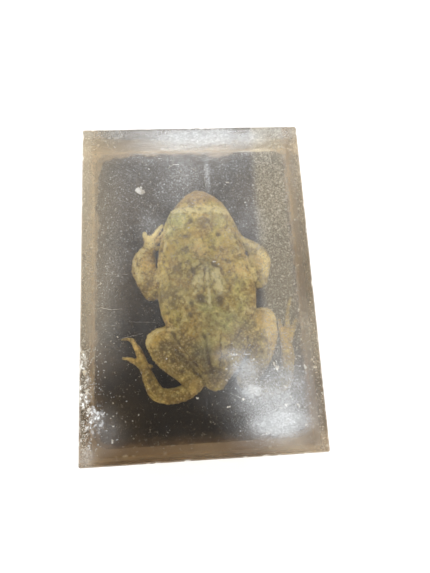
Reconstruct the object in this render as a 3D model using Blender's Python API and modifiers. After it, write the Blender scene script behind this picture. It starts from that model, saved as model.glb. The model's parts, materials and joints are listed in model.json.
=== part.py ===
"""A preserved frog cast in a clear resin block that stands on a dark felt pad.

The block lies flat, +Z up, with the frog's snout towards +Y. The origin is the middle of the
pad's underside. Everything is in metres. The resin was poured in two layers, and the seam
between them is where the block parts round the frog.
"""

import math

import bmesh
import bpy

# Driving dimensions
BLOCK_WIDTH = 0.075
BLOCK_LENGTH = 0.110
BLOCK_HEIGHT = 0.025
EDGE_ROUNDING = 0.0009
PAD_WIDTH = 0.0730
PAD_LENGTH = 0.1064
PAD_THICKNESS = 0.0012
PAD_CORNER = 0.0050
PAD_SHIFT = 0.0009
GAP = 0.0003

BLOCK_BASE = PAD_THICKNESS + GAP
SEAM_HEIGHT = BLOCK_BASE + BLOCK_HEIGHT / 2

# The belly lies this high above the block's underside, and frog heights are measured from it
BELLY_CLEARANCE = 0.0047
FROG_BASE = BLOCK_BASE + BELLY_CLEARANCE

# Mesh sizes: the frog is fused on a fine grid, then thinned to its share of triangles
FUSING_GRID = 0.00042
FROG_TRIANGLES = 4600
POCKET_CLEARANCE = 0.0008
CREASE_FILL = 0.0012
POCKET_GRID = 0.0008
POCKET_TRIANGLES = 2600

# Body sections from the vent to the snout: y, centre x, half width, underside z, back z
BODY_SECTIONS = [
    (-0.0354, 0.0046, 0.0016, 0.0036, 0.0060),
    (-0.0334, 0.0045, 0.0040, 0.0024, 0.0076),
    (-0.0290, 0.0043, 0.0060, 0.0012, 0.0094),
    (-0.0235, 0.0040, 0.0078, 0.0005, 0.0110),
    (-0.0190, 0.0037, 0.0108, 0.0002, 0.0122),
    (-0.0140, 0.0034, 0.0148, 0.0000, 0.0133),
    (-0.0080, 0.0033, 0.0170, 0.0000, 0.0141),
    (0.0000, 0.0031, 0.0175, 0.0000, 0.0143),
    (0.0080, 0.0023, 0.0164, 0.0004, 0.0134),
    (0.0145, 0.0019, 0.0148, 0.0008, 0.0123),
    (0.0195, 0.0019, 0.0138, 0.0012, 0.0117),
    (0.0240, 0.0018, 0.0120, 0.0017, 0.0110),
    (0.0280, 0.0020, 0.0098, 0.0022, 0.0099),
    (0.0312, 0.0021, 0.0073, 0.0028, 0.0087),
    (0.0338, 0.0018, 0.0047, 0.0036, 0.0072),
    (0.0354, 0.0017, 0.0018, 0.0044, 0.0062),
]
SECTION_POINTS = 16
SECTION_SQUARENESS = 0.84

# Swellings on the body: x, y, z, then the half size along x, y and z
BULGES = {
    "left_eye": (-0.0056, 0.0234, 0.0084, 0.0040, 0.0047, 0.0034),
    "right_eye": (0.0084, 0.0230, 0.0084, 0.0040, 0.0047, 0.0034),
    "left_heel": (-0.0026, -0.0320, 0.0052, 0.0036, 0.0034, 0.0031),
    "right_heel": (0.0150, -0.0322, 0.0052, 0.0036, 0.0034, 0.0031),
}

# Limbs as tapering tubes: each point is x, y, z and the radius there
LIMBS = {
    "left_upper_arm": [
        (-0.0070, 0.0085, 0.0060, 0.0042),
        (-0.0120, 0.0030, 0.0052, 0.0036),
        (-0.0158, -0.0010, 0.0046, 0.0031),
    ],
    "left_forearm": [
        (-0.0158, -0.0012, 0.0046, 0.0030),
        (-0.0175, 0.0035, 0.0046, 0.0038),
        (-0.0184, 0.0085, 0.0044, 0.0042),
        (-0.0172, 0.0128, 0.0040, 0.0031),
        (-0.0163, 0.0155, 0.0036, 0.0021),
        (-0.0161, 0.0178, 0.0034, 0.0019),
    ],
    "left_finger_outer": [
        (-0.0168, 0.0172, 0.0034, 0.0013),
        (-0.0177, 0.0188, 0.0034, 0.0010),
        (-0.0179, 0.0202, 0.0033, 0.0009),
    ],
    "left_finger_long": [
        (-0.0156, 0.0174, 0.0034, 0.0013),
        (-0.0140, 0.0202, 0.0035, 0.0010),
        (-0.0118, 0.0228, 0.0036, 0.0007),
    ],
    "left_finger_inner": [
        (-0.0152, 0.0162, 0.0034, 0.0012),
        (-0.0128, 0.0180, 0.0030, 0.0010),
        (-0.0112, 0.0206, 0.0026, 0.0007),
    ],
    "left_thumb": [
        (-0.0156, 0.0150, 0.0036, 0.0013),
        (-0.0134, 0.0146, 0.0036, 0.0010),
        (-0.0122, 0.0152, 0.0032, 0.0007),
    ],
    "right_upper_arm": [
        (0.0110, 0.0085, 0.0060, 0.0042),
        (0.0165, 0.0045, 0.0052, 0.0036),
        (0.0213, 0.0016, 0.0046, 0.0030),
    ],
    "right_forearm": [
        (0.0216, 0.0017, 0.0046, 0.0029),
        (0.0220, 0.0055, 0.0046, 0.0036),
        (0.0219, 0.0094, 0.0044, 0.0041),
        (0.0204, 0.0130, 0.0040, 0.0027),
        (0.0184, 0.0148, 0.0036, 0.0021),
        (0.0166, 0.0160, 0.0033, 0.0018),
    ],
    "right_finger_long": [
        (0.0172, 0.0158, 0.0032, 0.0013),
        (0.0155, 0.0190, 0.0026, 0.0010),
        (0.0146, 0.0218, 0.0022, 0.0007),
    ],
    "right_finger_inner": [
        (0.0166, 0.0154, 0.0030, 0.0012),
        (0.0136, 0.0172, 0.0020, 0.0010),
        (0.0112, 0.0196, 0.0012, 0.0007),
    ],
    "right_thumb": [
        (0.0168, 0.0146, 0.0030, 0.0012),
        (0.0144, 0.0146, 0.0020, 0.0010),
        (0.0122, 0.0154, 0.0012, 0.0007),
    ],
    "left_thigh": [
        (0.0034, -0.0298, 0.0056, 0.0036),
        (0.0000, -0.0250, 0.0062, 0.0040),
        (-0.0034, -0.0202, 0.0066, 0.0043),
        (-0.0080, -0.0172, 0.0062, 0.0042),
        (-0.0130, -0.0176, 0.0052, 0.0040),
    ],
    "left_shank": [
        (-0.0141, -0.0184, 0.0048, 0.0042),
        (-0.0118, -0.0222, 0.0047, 0.0045),
        (-0.0082, -0.0262, 0.0047, 0.0041),
        (-0.0044, -0.0304, 0.0048, 0.0032),
        (-0.0026, -0.0325, 0.0046, 0.0028),
    ],
    "left_ankle": [
        (-0.0018, -0.0326, 0.0046, 0.0026),
        (-0.0060, -0.0354, 0.0040, 0.0026),
        (-0.0108, -0.0363, 0.0036, 0.0025),
        (-0.0150, -0.0350, 0.0034, 0.0025),
        (-0.0168, -0.0316, 0.0033, 0.0022),
        (-0.0182, -0.0282, 0.0032, 0.0019),
        (-0.0190, -0.0262, 0.0031, 0.0017),
    ],
    "left_toe_long": [
        (-0.0188, -0.0266, 0.0031, 0.0013),
        (-0.0202, -0.0230, 0.0031, 0.0010),
        (-0.0216, -0.0196, 0.0031, 0.0009),
        (-0.0229, -0.0174, 0.0031, 0.0008),
        (-0.0246, -0.0167, 0.0030, 0.0006),
        (-0.0264, -0.0169, 0.0029, 0.0005),
    ],
    "left_toe_fourth": [
        (-0.0184, -0.0264, 0.0026, 0.0012),
        (-0.0196, -0.0232, 0.0024, 0.0010),
        (-0.0209, -0.0200, 0.0023, 0.0008),
        (-0.0222, -0.0184, 0.0022, 0.0006),
    ],
    "left_toe_short": [
        (-0.0194, -0.0264, 0.0031, 0.0013),
        (-0.0214, -0.0249, 0.0031, 0.0010),
        (-0.0238, -0.0236, 0.0030, 0.0007),
        (-0.0260, -0.0231, 0.0029, 0.0005),
    ],
    "left_heel_spur": [
        (-0.0182, -0.0270, 0.0032, 0.0012),
        (-0.0168, -0.0262, 0.0032, 0.0008),
    ],
    "right_thigh": [
        (0.0062, -0.0296, 0.0056, 0.0036),
        (0.0098, -0.0248, 0.0062, 0.0040),
        (0.0130, -0.0198, 0.0066, 0.0043),
        (0.0168, -0.0152, 0.0062, 0.0042),
        (0.0206, -0.0126, 0.0052, 0.0041),
    ],
    "right_shank": [
        (0.0219, -0.0128, 0.0048, 0.0045),
        (0.0215, -0.0188, 0.0047, 0.0047),
        (0.0196, -0.0248, 0.0047, 0.0041),
        (0.0168, -0.0300, 0.0048, 0.0032),
        (0.0152, -0.0325, 0.0046, 0.0028),
    ],
    "right_ankle": [
        (0.0146, -0.0328, 0.0046, 0.0026),
        (0.0190, -0.0350, 0.0040, 0.0026),
        (0.0236, -0.0353, 0.0036, 0.0025),
        (0.0276, -0.0332, 0.0034, 0.0024),
        (0.0291, -0.0290, 0.0033, 0.0022),
        (0.0296, -0.0240, 0.0032, 0.0021),
        (0.0294, -0.0205, 0.0031, 0.0019),
    ],
    "right_toe_inner": [
        (0.0288, -0.0212, 0.0031, 0.0013),
        (0.0283, -0.0174, 0.0031, 0.0010),
        (0.0279, -0.0148, 0.0030, 0.0008),
        (0.0277, -0.0124, 0.0029, 0.0005),
    ],
    "right_toe_long": [
        (0.0296, -0.0212, 0.0031, 0.0013),
        (0.0301, -0.0165, 0.0031, 0.0010),
        (0.0306, -0.0120, 0.0031, 0.0008),
        (0.0312, -0.0085, 0.0030, 0.0007),
        (0.0323, -0.0052, 0.0029, 0.0005),
    ],
    "right_toe_outer": [
        (0.0302, -0.0214, 0.0031, 0.0013),
        (0.0315, -0.0178, 0.0031, 0.0010),
        (0.0326, -0.0150, 0.0030, 0.0008),
        (0.0336, -0.0126, 0.0029, 0.0005),
    ],
}

# Webs between neighbouring toes: root, first toe's point and second toe's point, x, y, z
WEBS = {
    "left_web": [
        (-0.0192, -0.0262, 0.0030),
        (-0.0206, -0.0222, 0.0030),
        (-0.0222, -0.0243, 0.0030),
    ],
    "right_web_inner": [
        (0.0292, -0.0212, 0.0030),
        (0.0281, -0.0160, 0.0030),
        (0.0302, -0.0150, 0.0030),
    ],
    "right_web_outer": [
        (0.0298, -0.0212, 0.0030),
        (0.0304, -0.0145, 0.0030),
        (0.0323, -0.0158, 0.0030),
    ],
}
WEB_THICKNESS = 0.0011

RESIN_COLOUR = (0.78, 0.70, 0.55, 0.35)
FROG_COLOUR = (0.30, 0.24, 0.12, 1.0)
PAD_COLOUR = (0.030, 0.024, 0.020, 1.0)


def clear_scene():
    for old in list(bpy.data.objects):
        bpy.data.objects.remove(old, do_unlink=True)


def new_collection(name, hidden=False):
    made = bpy.data.collections.new(name)
    made.hide_render = hidden
    bpy.context.scene.collection.children.link(made)
    return made


def principled(name, colour, roughness, transmission=0.0):
    """A material with one Principled BSDF."""
    made = bpy.data.materials.new(name)
    made.use_nodes = True
    shader = made.node_tree.nodes["Principled BSDF"]
    shader.inputs["Base Color"].default_value = colour
    shader.inputs["Roughness"].default_value = roughness
    shader.inputs["Metallic"].default_value = 0.0
    shader.inputs["Transmission Weight"].default_value = transmission
    shader.inputs["Alpha"].default_value = colour[3]
    return made


def object_from_bmesh(name, bm, collection):
    bmesh.ops.recalc_face_normals(bm, faces=bm.faces)
    mesh = bpy.data.meshes.new(name)
    bm.to_mesh(mesh)
    bm.free()
    made = bpy.data.objects.new(name, mesh)
    collection.objects.link(made)
    return made


def shown_mesh(obj):
    """A copy of the object's mesh as its modifiers leave it, in world space."""
    graph = bpy.context.evaluated_depsgraph_get()
    mesh = bpy.data.meshes.new_from_object(obj.evaluated_get(graph))
    mesh.transform(obj.matrix_world)
    return mesh


def ring_points(section):
    """One body section as a closed ring, squarer than an ellipse and flatter underneath."""
    y, centre_x, half_width, low, high = section
    middle = low + (high - low) * 0.42
    points = []
    for i in range(SECTION_POINTS):
        turn = 2 * math.pi * i / SECTION_POINTS
        across = abs(math.cos(turn)) ** SECTION_SQUARENESS
        upward = abs(math.sin(turn)) ** SECTION_SQUARENESS
        x = centre_x + half_width * math.copysign(across, math.cos(turn))
        reach = high - middle if math.sin(turn) > 0 else low - middle
        points.append((x, y, middle + reach * upward))
    return points


def body_form(collection):
    """The head and trunk, lofted through the body sections."""
    bm = bmesh.new()
    rings = [[bm.verts.new(p) for p in ring_points(s)] for s in BODY_SECTIONS]
    for near, far in zip(rings, rings[1:]):
        for i in range(SECTION_POINTS):
            after = (i + 1) % SECTION_POINTS
            bm.faces.new((near[i], near[after], far[after], far[i]))
    bm.faces.new(rings[0])
    bm.faces.new(rings[-1])
    body = object_from_bmesh("body_form", bm, collection)
    rounding = body.modifiers.new("rounding", "SUBSURF")
    rounding.levels = 2
    rounding.render_levels = 2
    return body


def bulge_form(name, place, collection):
    """An egg-shaped swelling, such as an eye or a heel."""
    x, y, z, half_x, half_y, half_z = place
    bm = bmesh.new()
    bmesh.ops.create_uvsphere(bm, u_segments=20, v_segments=12, radius=1.0)
    bmesh.ops.scale(bm, vec=(half_x, half_y, half_z), verts=bm.verts)
    bmesh.ops.translate(bm, vec=(x, y, z), verts=bm.verts)
    return object_from_bmesh(name, bm, collection)


def limb_form(name, points, collection):
    """A limb, finger or toe: a smooth curve whose bevel follows the radii, with round ends."""
    curve = bpy.data.curves.new(name, "CURVE")
    curve.dimensions = "3D"
    curve.bevel_depth = 1.0
    curve.bevel_resolution = 3
    curve.resolution_u = 6
    curve.use_fill_caps = True
    spline = curve.splines.new("BEZIER")
    spline.radius_interpolation = "CARDINAL"
    spline.bezier_points.add(len(points) - 1)
    for point, (x, y, z, radius) in zip(spline.bezier_points, points):
        point.co = (x, y, z)
        point.radius = radius
        point.handle_left_type = "AUTO"
        point.handle_right_type = "AUTO"
    made = bpy.data.objects.new(name, curve)
    collection.objects.link(made)
    ends = [made]
    for tag, (x, y, z, radius) in (("start", points[0]), ("tip", points[-1])):
        ball = (x, y, z, radius, radius, radius)
        ends.append(bulge_form(f"{name}_{tag}", ball, collection))
    return ends


def web_form(name, corners, collection):
    """The thin skin between two toes, a three-cornered sheet given a thickness."""
    bm = bmesh.new()
    bm.faces.new([bm.verts.new(corner) for corner in corners])
    made = object_from_bmesh(name, bm, collection)
    skin = made.modifiers.new("thickness", "SOLIDIFY")
    skin.thickness = WEB_THICKNESS
    skin.offset = 0.0
    return made


def frog_forms(collection):
    """Every form that the frog is fused from."""
    forms = [body_form(collection)]
    forms += [bulge_form(name, place, collection) for name, place in BULGES.items()]
    for name, points in LIMBS.items():
        forms += limb_form(name, points, collection)
    forms += [web_form(name, corners, collection) for name, corners in WEBS.items()]
    return forms


def fused(name, forms, grid, smoothing, collection):
    """The forms as one closed skin on a grid of this size, with its creases smoothed."""
    bpy.context.view_layer.update()
    bm = bmesh.new()
    for form in forms:
        mesh = shown_mesh(form)
        bm.from_mesh(mesh)
        bpy.data.meshes.remove(mesh)
    bmesh.ops.remove_doubles(bm, verts=bm.verts, dist=1e-7)
    made = object_from_bmesh(name, bm, collection)
    skin = made.modifiers.new("fuse", "REMESH")
    skin.mode = "VOXEL"
    skin.voxel_size = grid
    soft = made.modifiers.new("soften", "SMOOTH")
    soft.factor = 0.5
    soft.iterations = smoothing
    return made


def thin_to(obj, triangles):
    """Adds a Decimate that leaves about this many triangles."""
    mesh = shown_mesh(obj)
    mesh.calc_loop_triangles()
    before = len(mesh.loop_triangles)
    bpy.data.meshes.remove(mesh)
    thin = obj.modifiers.new("thin", "DECIMATE")
    thin.use_collapse_triangulate = True
    thin.ratio = min(1.0, triangles / before)


def baked(name, obj, collection, lift):
    """A new object holding the mesh that the modifiers of obj make, placed lift above it."""
    bpy.context.view_layer.update()
    made = bpy.data.objects.new(name, shown_mesh(obj))
    made.data.name = name
    made.location = (0.0, 0.0, lift)
    collection.objects.link(made)
    return made


def make_frog(forms, shown, guides):
    """The frog itself: one skin over every form."""
    source = fused("frog_source", forms, FUSING_GRID, 6, guides)
    thin_to(source, FROG_TRIANGLES)
    frog = baked("frog", source, shown, FROG_BASE)
    frog.data.shade_smooth()
    frog.data.materials.append(principled("frog_skin", FROG_COLOUR, 0.55))
    return frog


def displaced(obj, name, distance):
    """Moves the skin out along its normals by this distance, then fuses it again."""
    shift = obj.modifiers.new(name, "DISPLACE")
    shift.mid_level = 0.0
    shift.strength = distance
    again = obj.modifiers.new(name + "_fused", "REMESH")
    again.mode = "VOXEL"
    again.voxel_size = POCKET_GRID


def make_pocket(forms, guides):
    """The frog's outline swollen all round, which cuts its pocket into both layers of resin.

    It first swells further and then shrinks back, which closes the creases between the limbs.
    """
    source = fused("pocket_source", forms, FUSING_GRID, 6, guides)
    displaced(source, "swollen", POCKET_CLEARANCE + CREASE_FILL)
    displaced(source, "shrunk", -CREASE_FILL)
    thin_to(source, POCKET_TRIANGLES)
    return baked("pocket_cutter", source, guides, FROG_BASE)


def resin_layer(name, low, high, rounded_z, collection, material, cutter):
    """One layer of the block, rounded at its corners and along its outer face at rounded_z."""
    bm = bmesh.new()
    bmesh.ops.create_cube(bm, size=1.0)
    bmesh.ops.scale(bm, vec=(BLOCK_WIDTH, BLOCK_LENGTH, high - low), verts=bm.verts)
    seam_z = -(high - low) / 2 if rounded_z == high else (high - low) / 2
    worn = [
        edge
        for edge in bm.edges
        if not all(abs(corner.co.z - seam_z) < 1e-6 for corner in edge.verts)
    ]
    bmesh.ops.bevel(
        bm,
        geom=worn,
        offset=EDGE_ROUNDING,
        offset_type="OFFSET",
        segments=3,
        profile=0.5,
        affect="EDGES",
    )
    layer = object_from_bmesh(name, bm, collection)
    layer.location = (0.0, 0.0, (low + high) / 2)
    layer.data.materials.append(material)
    cut = layer.modifiers.new("pocket", "BOOLEAN")
    cut.operation = "DIFFERENCE"
    cut.object = cutter
    return layer


def make_pad(collection):
    """The felt pad under the block: a flat outline with round corners, extruded."""
    half_x, half_y = PAD_WIDTH / 2, PAD_LENGTH / 2
    corners = [(-1, -1, 180), (1, -1, 270), (1, 1, 0), (-1, 1, 90)]
    outline = []
    for side_x, side_y, first in corners:
        centre_x = side_x * (half_x - PAD_CORNER)
        centre_y = side_y * (half_y - PAD_CORNER)
        for step in range(7):
            turn = math.radians(first + step * 15)
            across = centre_x + PAD_CORNER * math.cos(turn)
            along = centre_y + PAD_CORNER * math.sin(turn)
            outline.append((across, along, 0.0, 1.0))
    curve = bpy.data.curves.new("felt_pad", "CURVE")
    curve.dimensions = "2D"
    curve.fill_mode = "BOTH"
    curve.extrude = PAD_THICKNESS / 2
    spline = curve.splines.new("POLY")
    spline.points.add(len(outline) - 1)
    for point, place in zip(spline.points, outline):
        point.co = place
    spline.use_cyclic_u = True
    pad = bpy.data.objects.new("felt_pad", curve)
    pad.location = (0.0, PAD_SHIFT, PAD_THICKNESS / 2)
    pad.data.materials.append(principled("black_felt", PAD_COLOUR, 0.95))
    collection.objects.link(pad)
    return pad


def main():
    clear_scene()
    shown = new_collection("frog_in_resin_block")
    guides = new_collection("guides", hidden=True)
    forms = frog_forms(guides)
    make_frog(forms, shown, guides)
    pocket = make_pocket(forms, guides)
    resin = principled("clear_resin", RESIN_COLOUR, 0.08, transmission=1.0)
    block_top = BLOCK_BASE + BLOCK_HEIGHT
    lower_top = SEAM_HEIGHT - GAP / 2
    upper_base = SEAM_HEIGHT + GAP / 2
    resin_layer("block_lower", BLOCK_BASE, lower_top, BLOCK_BASE, shown, resin, pocket)
    resin_layer("block_upper", upper_base, block_top, block_top, shown, resin, pocket)
    make_pad(shown)
    for guide in guides.objects:
        guide.hide_render = True
        guide.display_type = "WIRE"


main()
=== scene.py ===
import json
import math

import bmesh
import bpy
import numpy as np
from mathutils import Matrix, Vector

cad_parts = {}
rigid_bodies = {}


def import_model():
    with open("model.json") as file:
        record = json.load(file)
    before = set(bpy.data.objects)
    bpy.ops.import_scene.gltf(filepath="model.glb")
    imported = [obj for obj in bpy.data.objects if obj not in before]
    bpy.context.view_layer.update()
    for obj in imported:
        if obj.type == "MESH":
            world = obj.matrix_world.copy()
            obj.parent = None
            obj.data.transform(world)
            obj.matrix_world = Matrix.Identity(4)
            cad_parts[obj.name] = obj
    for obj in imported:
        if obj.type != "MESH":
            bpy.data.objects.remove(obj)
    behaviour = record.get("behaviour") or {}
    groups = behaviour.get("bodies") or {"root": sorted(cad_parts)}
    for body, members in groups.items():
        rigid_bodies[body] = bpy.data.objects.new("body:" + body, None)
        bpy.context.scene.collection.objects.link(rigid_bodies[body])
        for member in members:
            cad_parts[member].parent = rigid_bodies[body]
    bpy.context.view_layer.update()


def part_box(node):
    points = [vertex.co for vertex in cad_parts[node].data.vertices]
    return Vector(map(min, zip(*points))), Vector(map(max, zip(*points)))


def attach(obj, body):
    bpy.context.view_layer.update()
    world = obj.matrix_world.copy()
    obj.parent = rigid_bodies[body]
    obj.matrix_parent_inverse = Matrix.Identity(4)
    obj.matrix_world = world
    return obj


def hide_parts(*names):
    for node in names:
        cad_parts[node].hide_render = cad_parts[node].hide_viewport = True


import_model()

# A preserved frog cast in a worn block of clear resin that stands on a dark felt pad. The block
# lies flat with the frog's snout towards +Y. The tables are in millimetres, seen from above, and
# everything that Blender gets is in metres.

MM = 0.001
SEED = 20

# The block's sizes
BLOCK_LOW = Vector(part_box("block_lower")[0])
BLOCK_HIGH = Vector(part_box("block_upper")[1])
PAD_LOW = Vector(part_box("felt_pad")[0])
PAD_HIGH = Vector(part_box("felt_pad")[1])
SEAM_Z = 14 * MM
EDGE_RADIUS = 0.6 * MM
PAD_CORNER = 5 * MM
FROG_BASE = 6.2 * MM
PAD_LAP = 0.12 * MM         # how far the pad's top reaches into the resin
PAD_STEP = 0.5 * MM
CORNER_PARTS = 12
PAD_FRAY = 0.1              # in millimetres
# Rings of the pad's two faces, from its outline to its middle, close where the border fades
PAD_RINGS = (0.992, 0.983, 0.973, 0.963, 0.951, 0.938, 0.92, 0.9, 0.87, 0.83, 0.78, 0.71, 0.62,
             0.51, 0.39, 0.26, 0.13)
BORDER_SPAN = 16            # the width over which the border attribute goes from 0 to 1

# The frog's forms

# Body sections from the vent to the snout: y, centre x, half width, underside z, back z
BODY_SECTIONS = [
    (-35.4, 4.6, 1.6, 3.6, 6), (-33.4, 4.5, 4, 2.4, 7.6), (-29, 4.3, 6, 1.2, 9.4),
    (-23.5, 4, 7.8, 0.5, 11), (-19, 3.7, 10.8, 0.2, 12.2), (-14, 3.4, 14.8, 0, 13.3),
    (-8, 3.3, 17, 0, 14.1), (0, 3.1, 17.5, 0, 14.3), (8, 2.3, 16.4, 0.4, 13.4),
    (14.5, 1.9, 14.8, 0.8, 12.3), (19.5, 1.9, 13.8, 1.2, 11.7), (24, 1.8, 12, 1.7, 11),
    (28, 2, 9.8, 2.2, 9.9), (31.2, 2.1, 7.3, 2.8, 8.7), (33.8, 1.8, 4.7, 3.6, 7.2),
    (35.4, 1.7, 1.8, 4.4, 6.2)]
SECTION_POINTS = 16
SECTION_SQUARENESS = 0.84
SECTION_MIDDLE = 0.42
# Swellings for the eyes and heels: x, y, z, then the half size along x, y and z
BULGES = [
    (-5.6, 23.4, 8.4, 4, 4.7, 3.4), (8.4, 23, 8.4, 4, 4.7, 3.4), (-2.6, -32, 5.2, 3.6, 3.4, 3.1),
    (15, -32.2, 5.2, 3.6, 3.4, 3.1)]
# Limbs as tapering tubes: each point is x, y, z and the radius there
ARMS = {
    "left_upper_arm": [(-7, 8.5, 6, 4.2), (-12, 3, 5.2, 3.6), (-15.8, -1, 4.6, 3.1)],
    "left_forearm": [(-15.8, -1.2, 4.6, 3), (-17.5, 3.5, 4.6, 3.8), (-18.4, 8.5, 4.4, 4.2),
        (-17.2, 12.8, 4, 3.1), (-16.3, 15.5, 3.6, 2.1), (-16.1, 17.8, 3.4, 1.9)],
    "left_finger_outer": [(-16.8, 17.2, 3.4, 1.3), (-17.7, 18.8, 3.4, 1), (-17.9, 20.2, 3.3, 0.9)],
    "left_finger_long": [(-15.6, 17.4, 3.4, 1.3), (-14, 20.2, 3.5, 1), (-11.8, 22.8, 3.6, 0.7)],
    "left_finger_inner": [(-15.2, 16.2, 3.4, 1.2), (-12.8, 18, 3, 1), (-11.2, 20.6, 2.6, 0.7)],
    "left_thumb": [(-15.6, 15, 3.6, 1.3), (-13.4, 14.6, 3.6, 1), (-12.2, 15.2, 3.2, 0.7)],
    "right_upper_arm": [(11, 8.5, 6, 4.2), (16.5, 4.5, 5.2, 3.6), (21.3, 1.6, 4.6, 3)],
    "right_forearm": [(21.6, 1.7, 4.6, 2.9), (22, 5.5, 4.6, 3.6), (21.9, 9.4, 4.4, 4.1),
        (20.4, 13, 4, 2.7), (18.4, 14.8, 3.6, 2.1), (16.6, 16, 3.3, 1.8)],
    "right_finger_long": [(17.2, 15.8, 3.2, 1.3), (15.5, 19, 2.6, 1), (14.6, 21.8, 2.2, 0.7)],
    "right_finger_inner": [(16.6, 15.4, 3, 1.2), (13.6, 17.2, 2, 1), (11.2, 19.6, 1.2, 0.7)],
    "right_thumb": [(16.8, 14.6, 3, 1.2), (14.4, 14.6, 2, 1), (12.2, 15.4, 1.2, 0.7)],
}
LEGS = {
    "left_thigh": [(3.4, -29.8, 5.6, 3.6), (0, -25, 6.2, 4), (-3.4, -20.2, 6.6, 4.3),
        (-8, -17.2, 6.2, 4.2), (-13, -17.6, 5.2, 4)],
    "left_shank": [(-14.1, -18.4, 4.8, 4.2), (-11.8, -22.2, 4.7, 4.5), (-8.2, -26.2, 4.7, 4.1),
        (-4.4, -30.4, 4.8, 3.2), (-2.6, -32.5, 4.6, 2.8)],
    "left_ankle": [(-1.8, -32.6, 4.6, 2.6), (-6, -35.4, 4, 2.6), (-10.8, -36.3, 3.6, 2.5),
        (-15, -35, 3.4, 2.5), (-16.8, -31.6, 3.3, 2.2), (-18.2, -28.2, 3.2, 1.9),
        (-19, -26.2, 3.1, 1.7)],
    "left_toe_long": [(-18.8, -26.6, 3.1, 1.3), (-20.2, -23, 3.1, 1), (-21.6, -19.6, 3.1, 0.9),
        (-22.9, -17.4, 3.1, 0.8), (-24.6, -16.7, 3, 0.6), (-26.4, -16.9, 2.9, 0.5)],
    "left_toe_fourth": [(-18.4, -26.4, 2.6, 1.2), (-19.6, -23.2, 2.4, 1), (-20.9, -20, 2.3, 0.8),
        (-22.2, -18.4, 2.2, 0.6)],
    "left_toe_short": [(-19.4, -26.4, 3.1, 1.3), (-21.4, -24.9, 3.1, 1), (-23.8, -23.6, 3, 0.7),
        (-26, -23.1, 2.9, 0.5)],
    "left_heel_spur": [(-18.2, -27, 3.2, 1.2), (-16.8, -26.2, 3.2, 0.8)],
    "right_thigh": [(6.2, -29.6, 5.6, 3.6), (9.8, -24.8, 6.2, 4), (13, -19.8, 6.6, 4.3),
        (16.8, -15.2, 6.2, 4.2), (20.6, -12.6, 5.2, 4.1)],
    "right_shank": [(21.9, -12.8, 4.8, 4.5), (21.5, -18.8, 4.7, 4.7), (19.6, -24.8, 4.7, 4.1),
        (16.8, -30, 4.8, 3.2), (15.2, -32.5, 4.6, 2.8)],
    "right_ankle": [(14.6, -32.8, 4.6, 2.6), (19, -35, 4, 2.6), (23.6, -35.3, 3.6, 2.5),
        (27.6, -33.2, 3.4, 2.4), (29.1, -29, 3.3, 2.2), (29.6, -24, 3.2, 2.1),
        (29.4, -20.5, 3.1, 1.9)],
    "right_toe_inner": [(28.8, -21.2, 3.1, 1.3), (28.3, -17.4, 3.1, 1), (27.9, -14.8, 3, 0.8),
        (27.7, -12.4, 2.9, 0.5)],
    "right_toe_long": [(29.6, -21.2, 3.1, 1.3), (30.1, -16.5, 3.1, 1), (30.6, -12, 3.1, 0.8),
        (31.2, -8.5, 3, 0.7), (32.3, -5.2, 2.9, 0.5)],
    "right_toe_outer": [(30.2, -21.4, 3.1, 1.3), (31.5, -17.8, 3.1, 1), (32.6, -15, 3, 0.8),
        (33.6, -12.6, 2.9, 0.5)],
}
LIMBS = {**ARMS, **LEGS}
LIMB_MARGIN = 1.3
# Webs between neighbouring toes: root, first toe's point and second toe's point
WEBS = [
    [(-19.2, -26.2, 3), (-20.6, -22.2, 3), (-22.2, -24.3, 3)],
    [(29.2, -21.2, 3), (28.1, -16, 3), (30.2, -15, 3)],
    [(29.8, -21.2, 3), (30.4, -14.5, 3), (32.3, -15.8, 3)]]
WEB_THICKNESS = 1.1
FROG_GRID = 0.33

# The frog's skin from above

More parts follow.
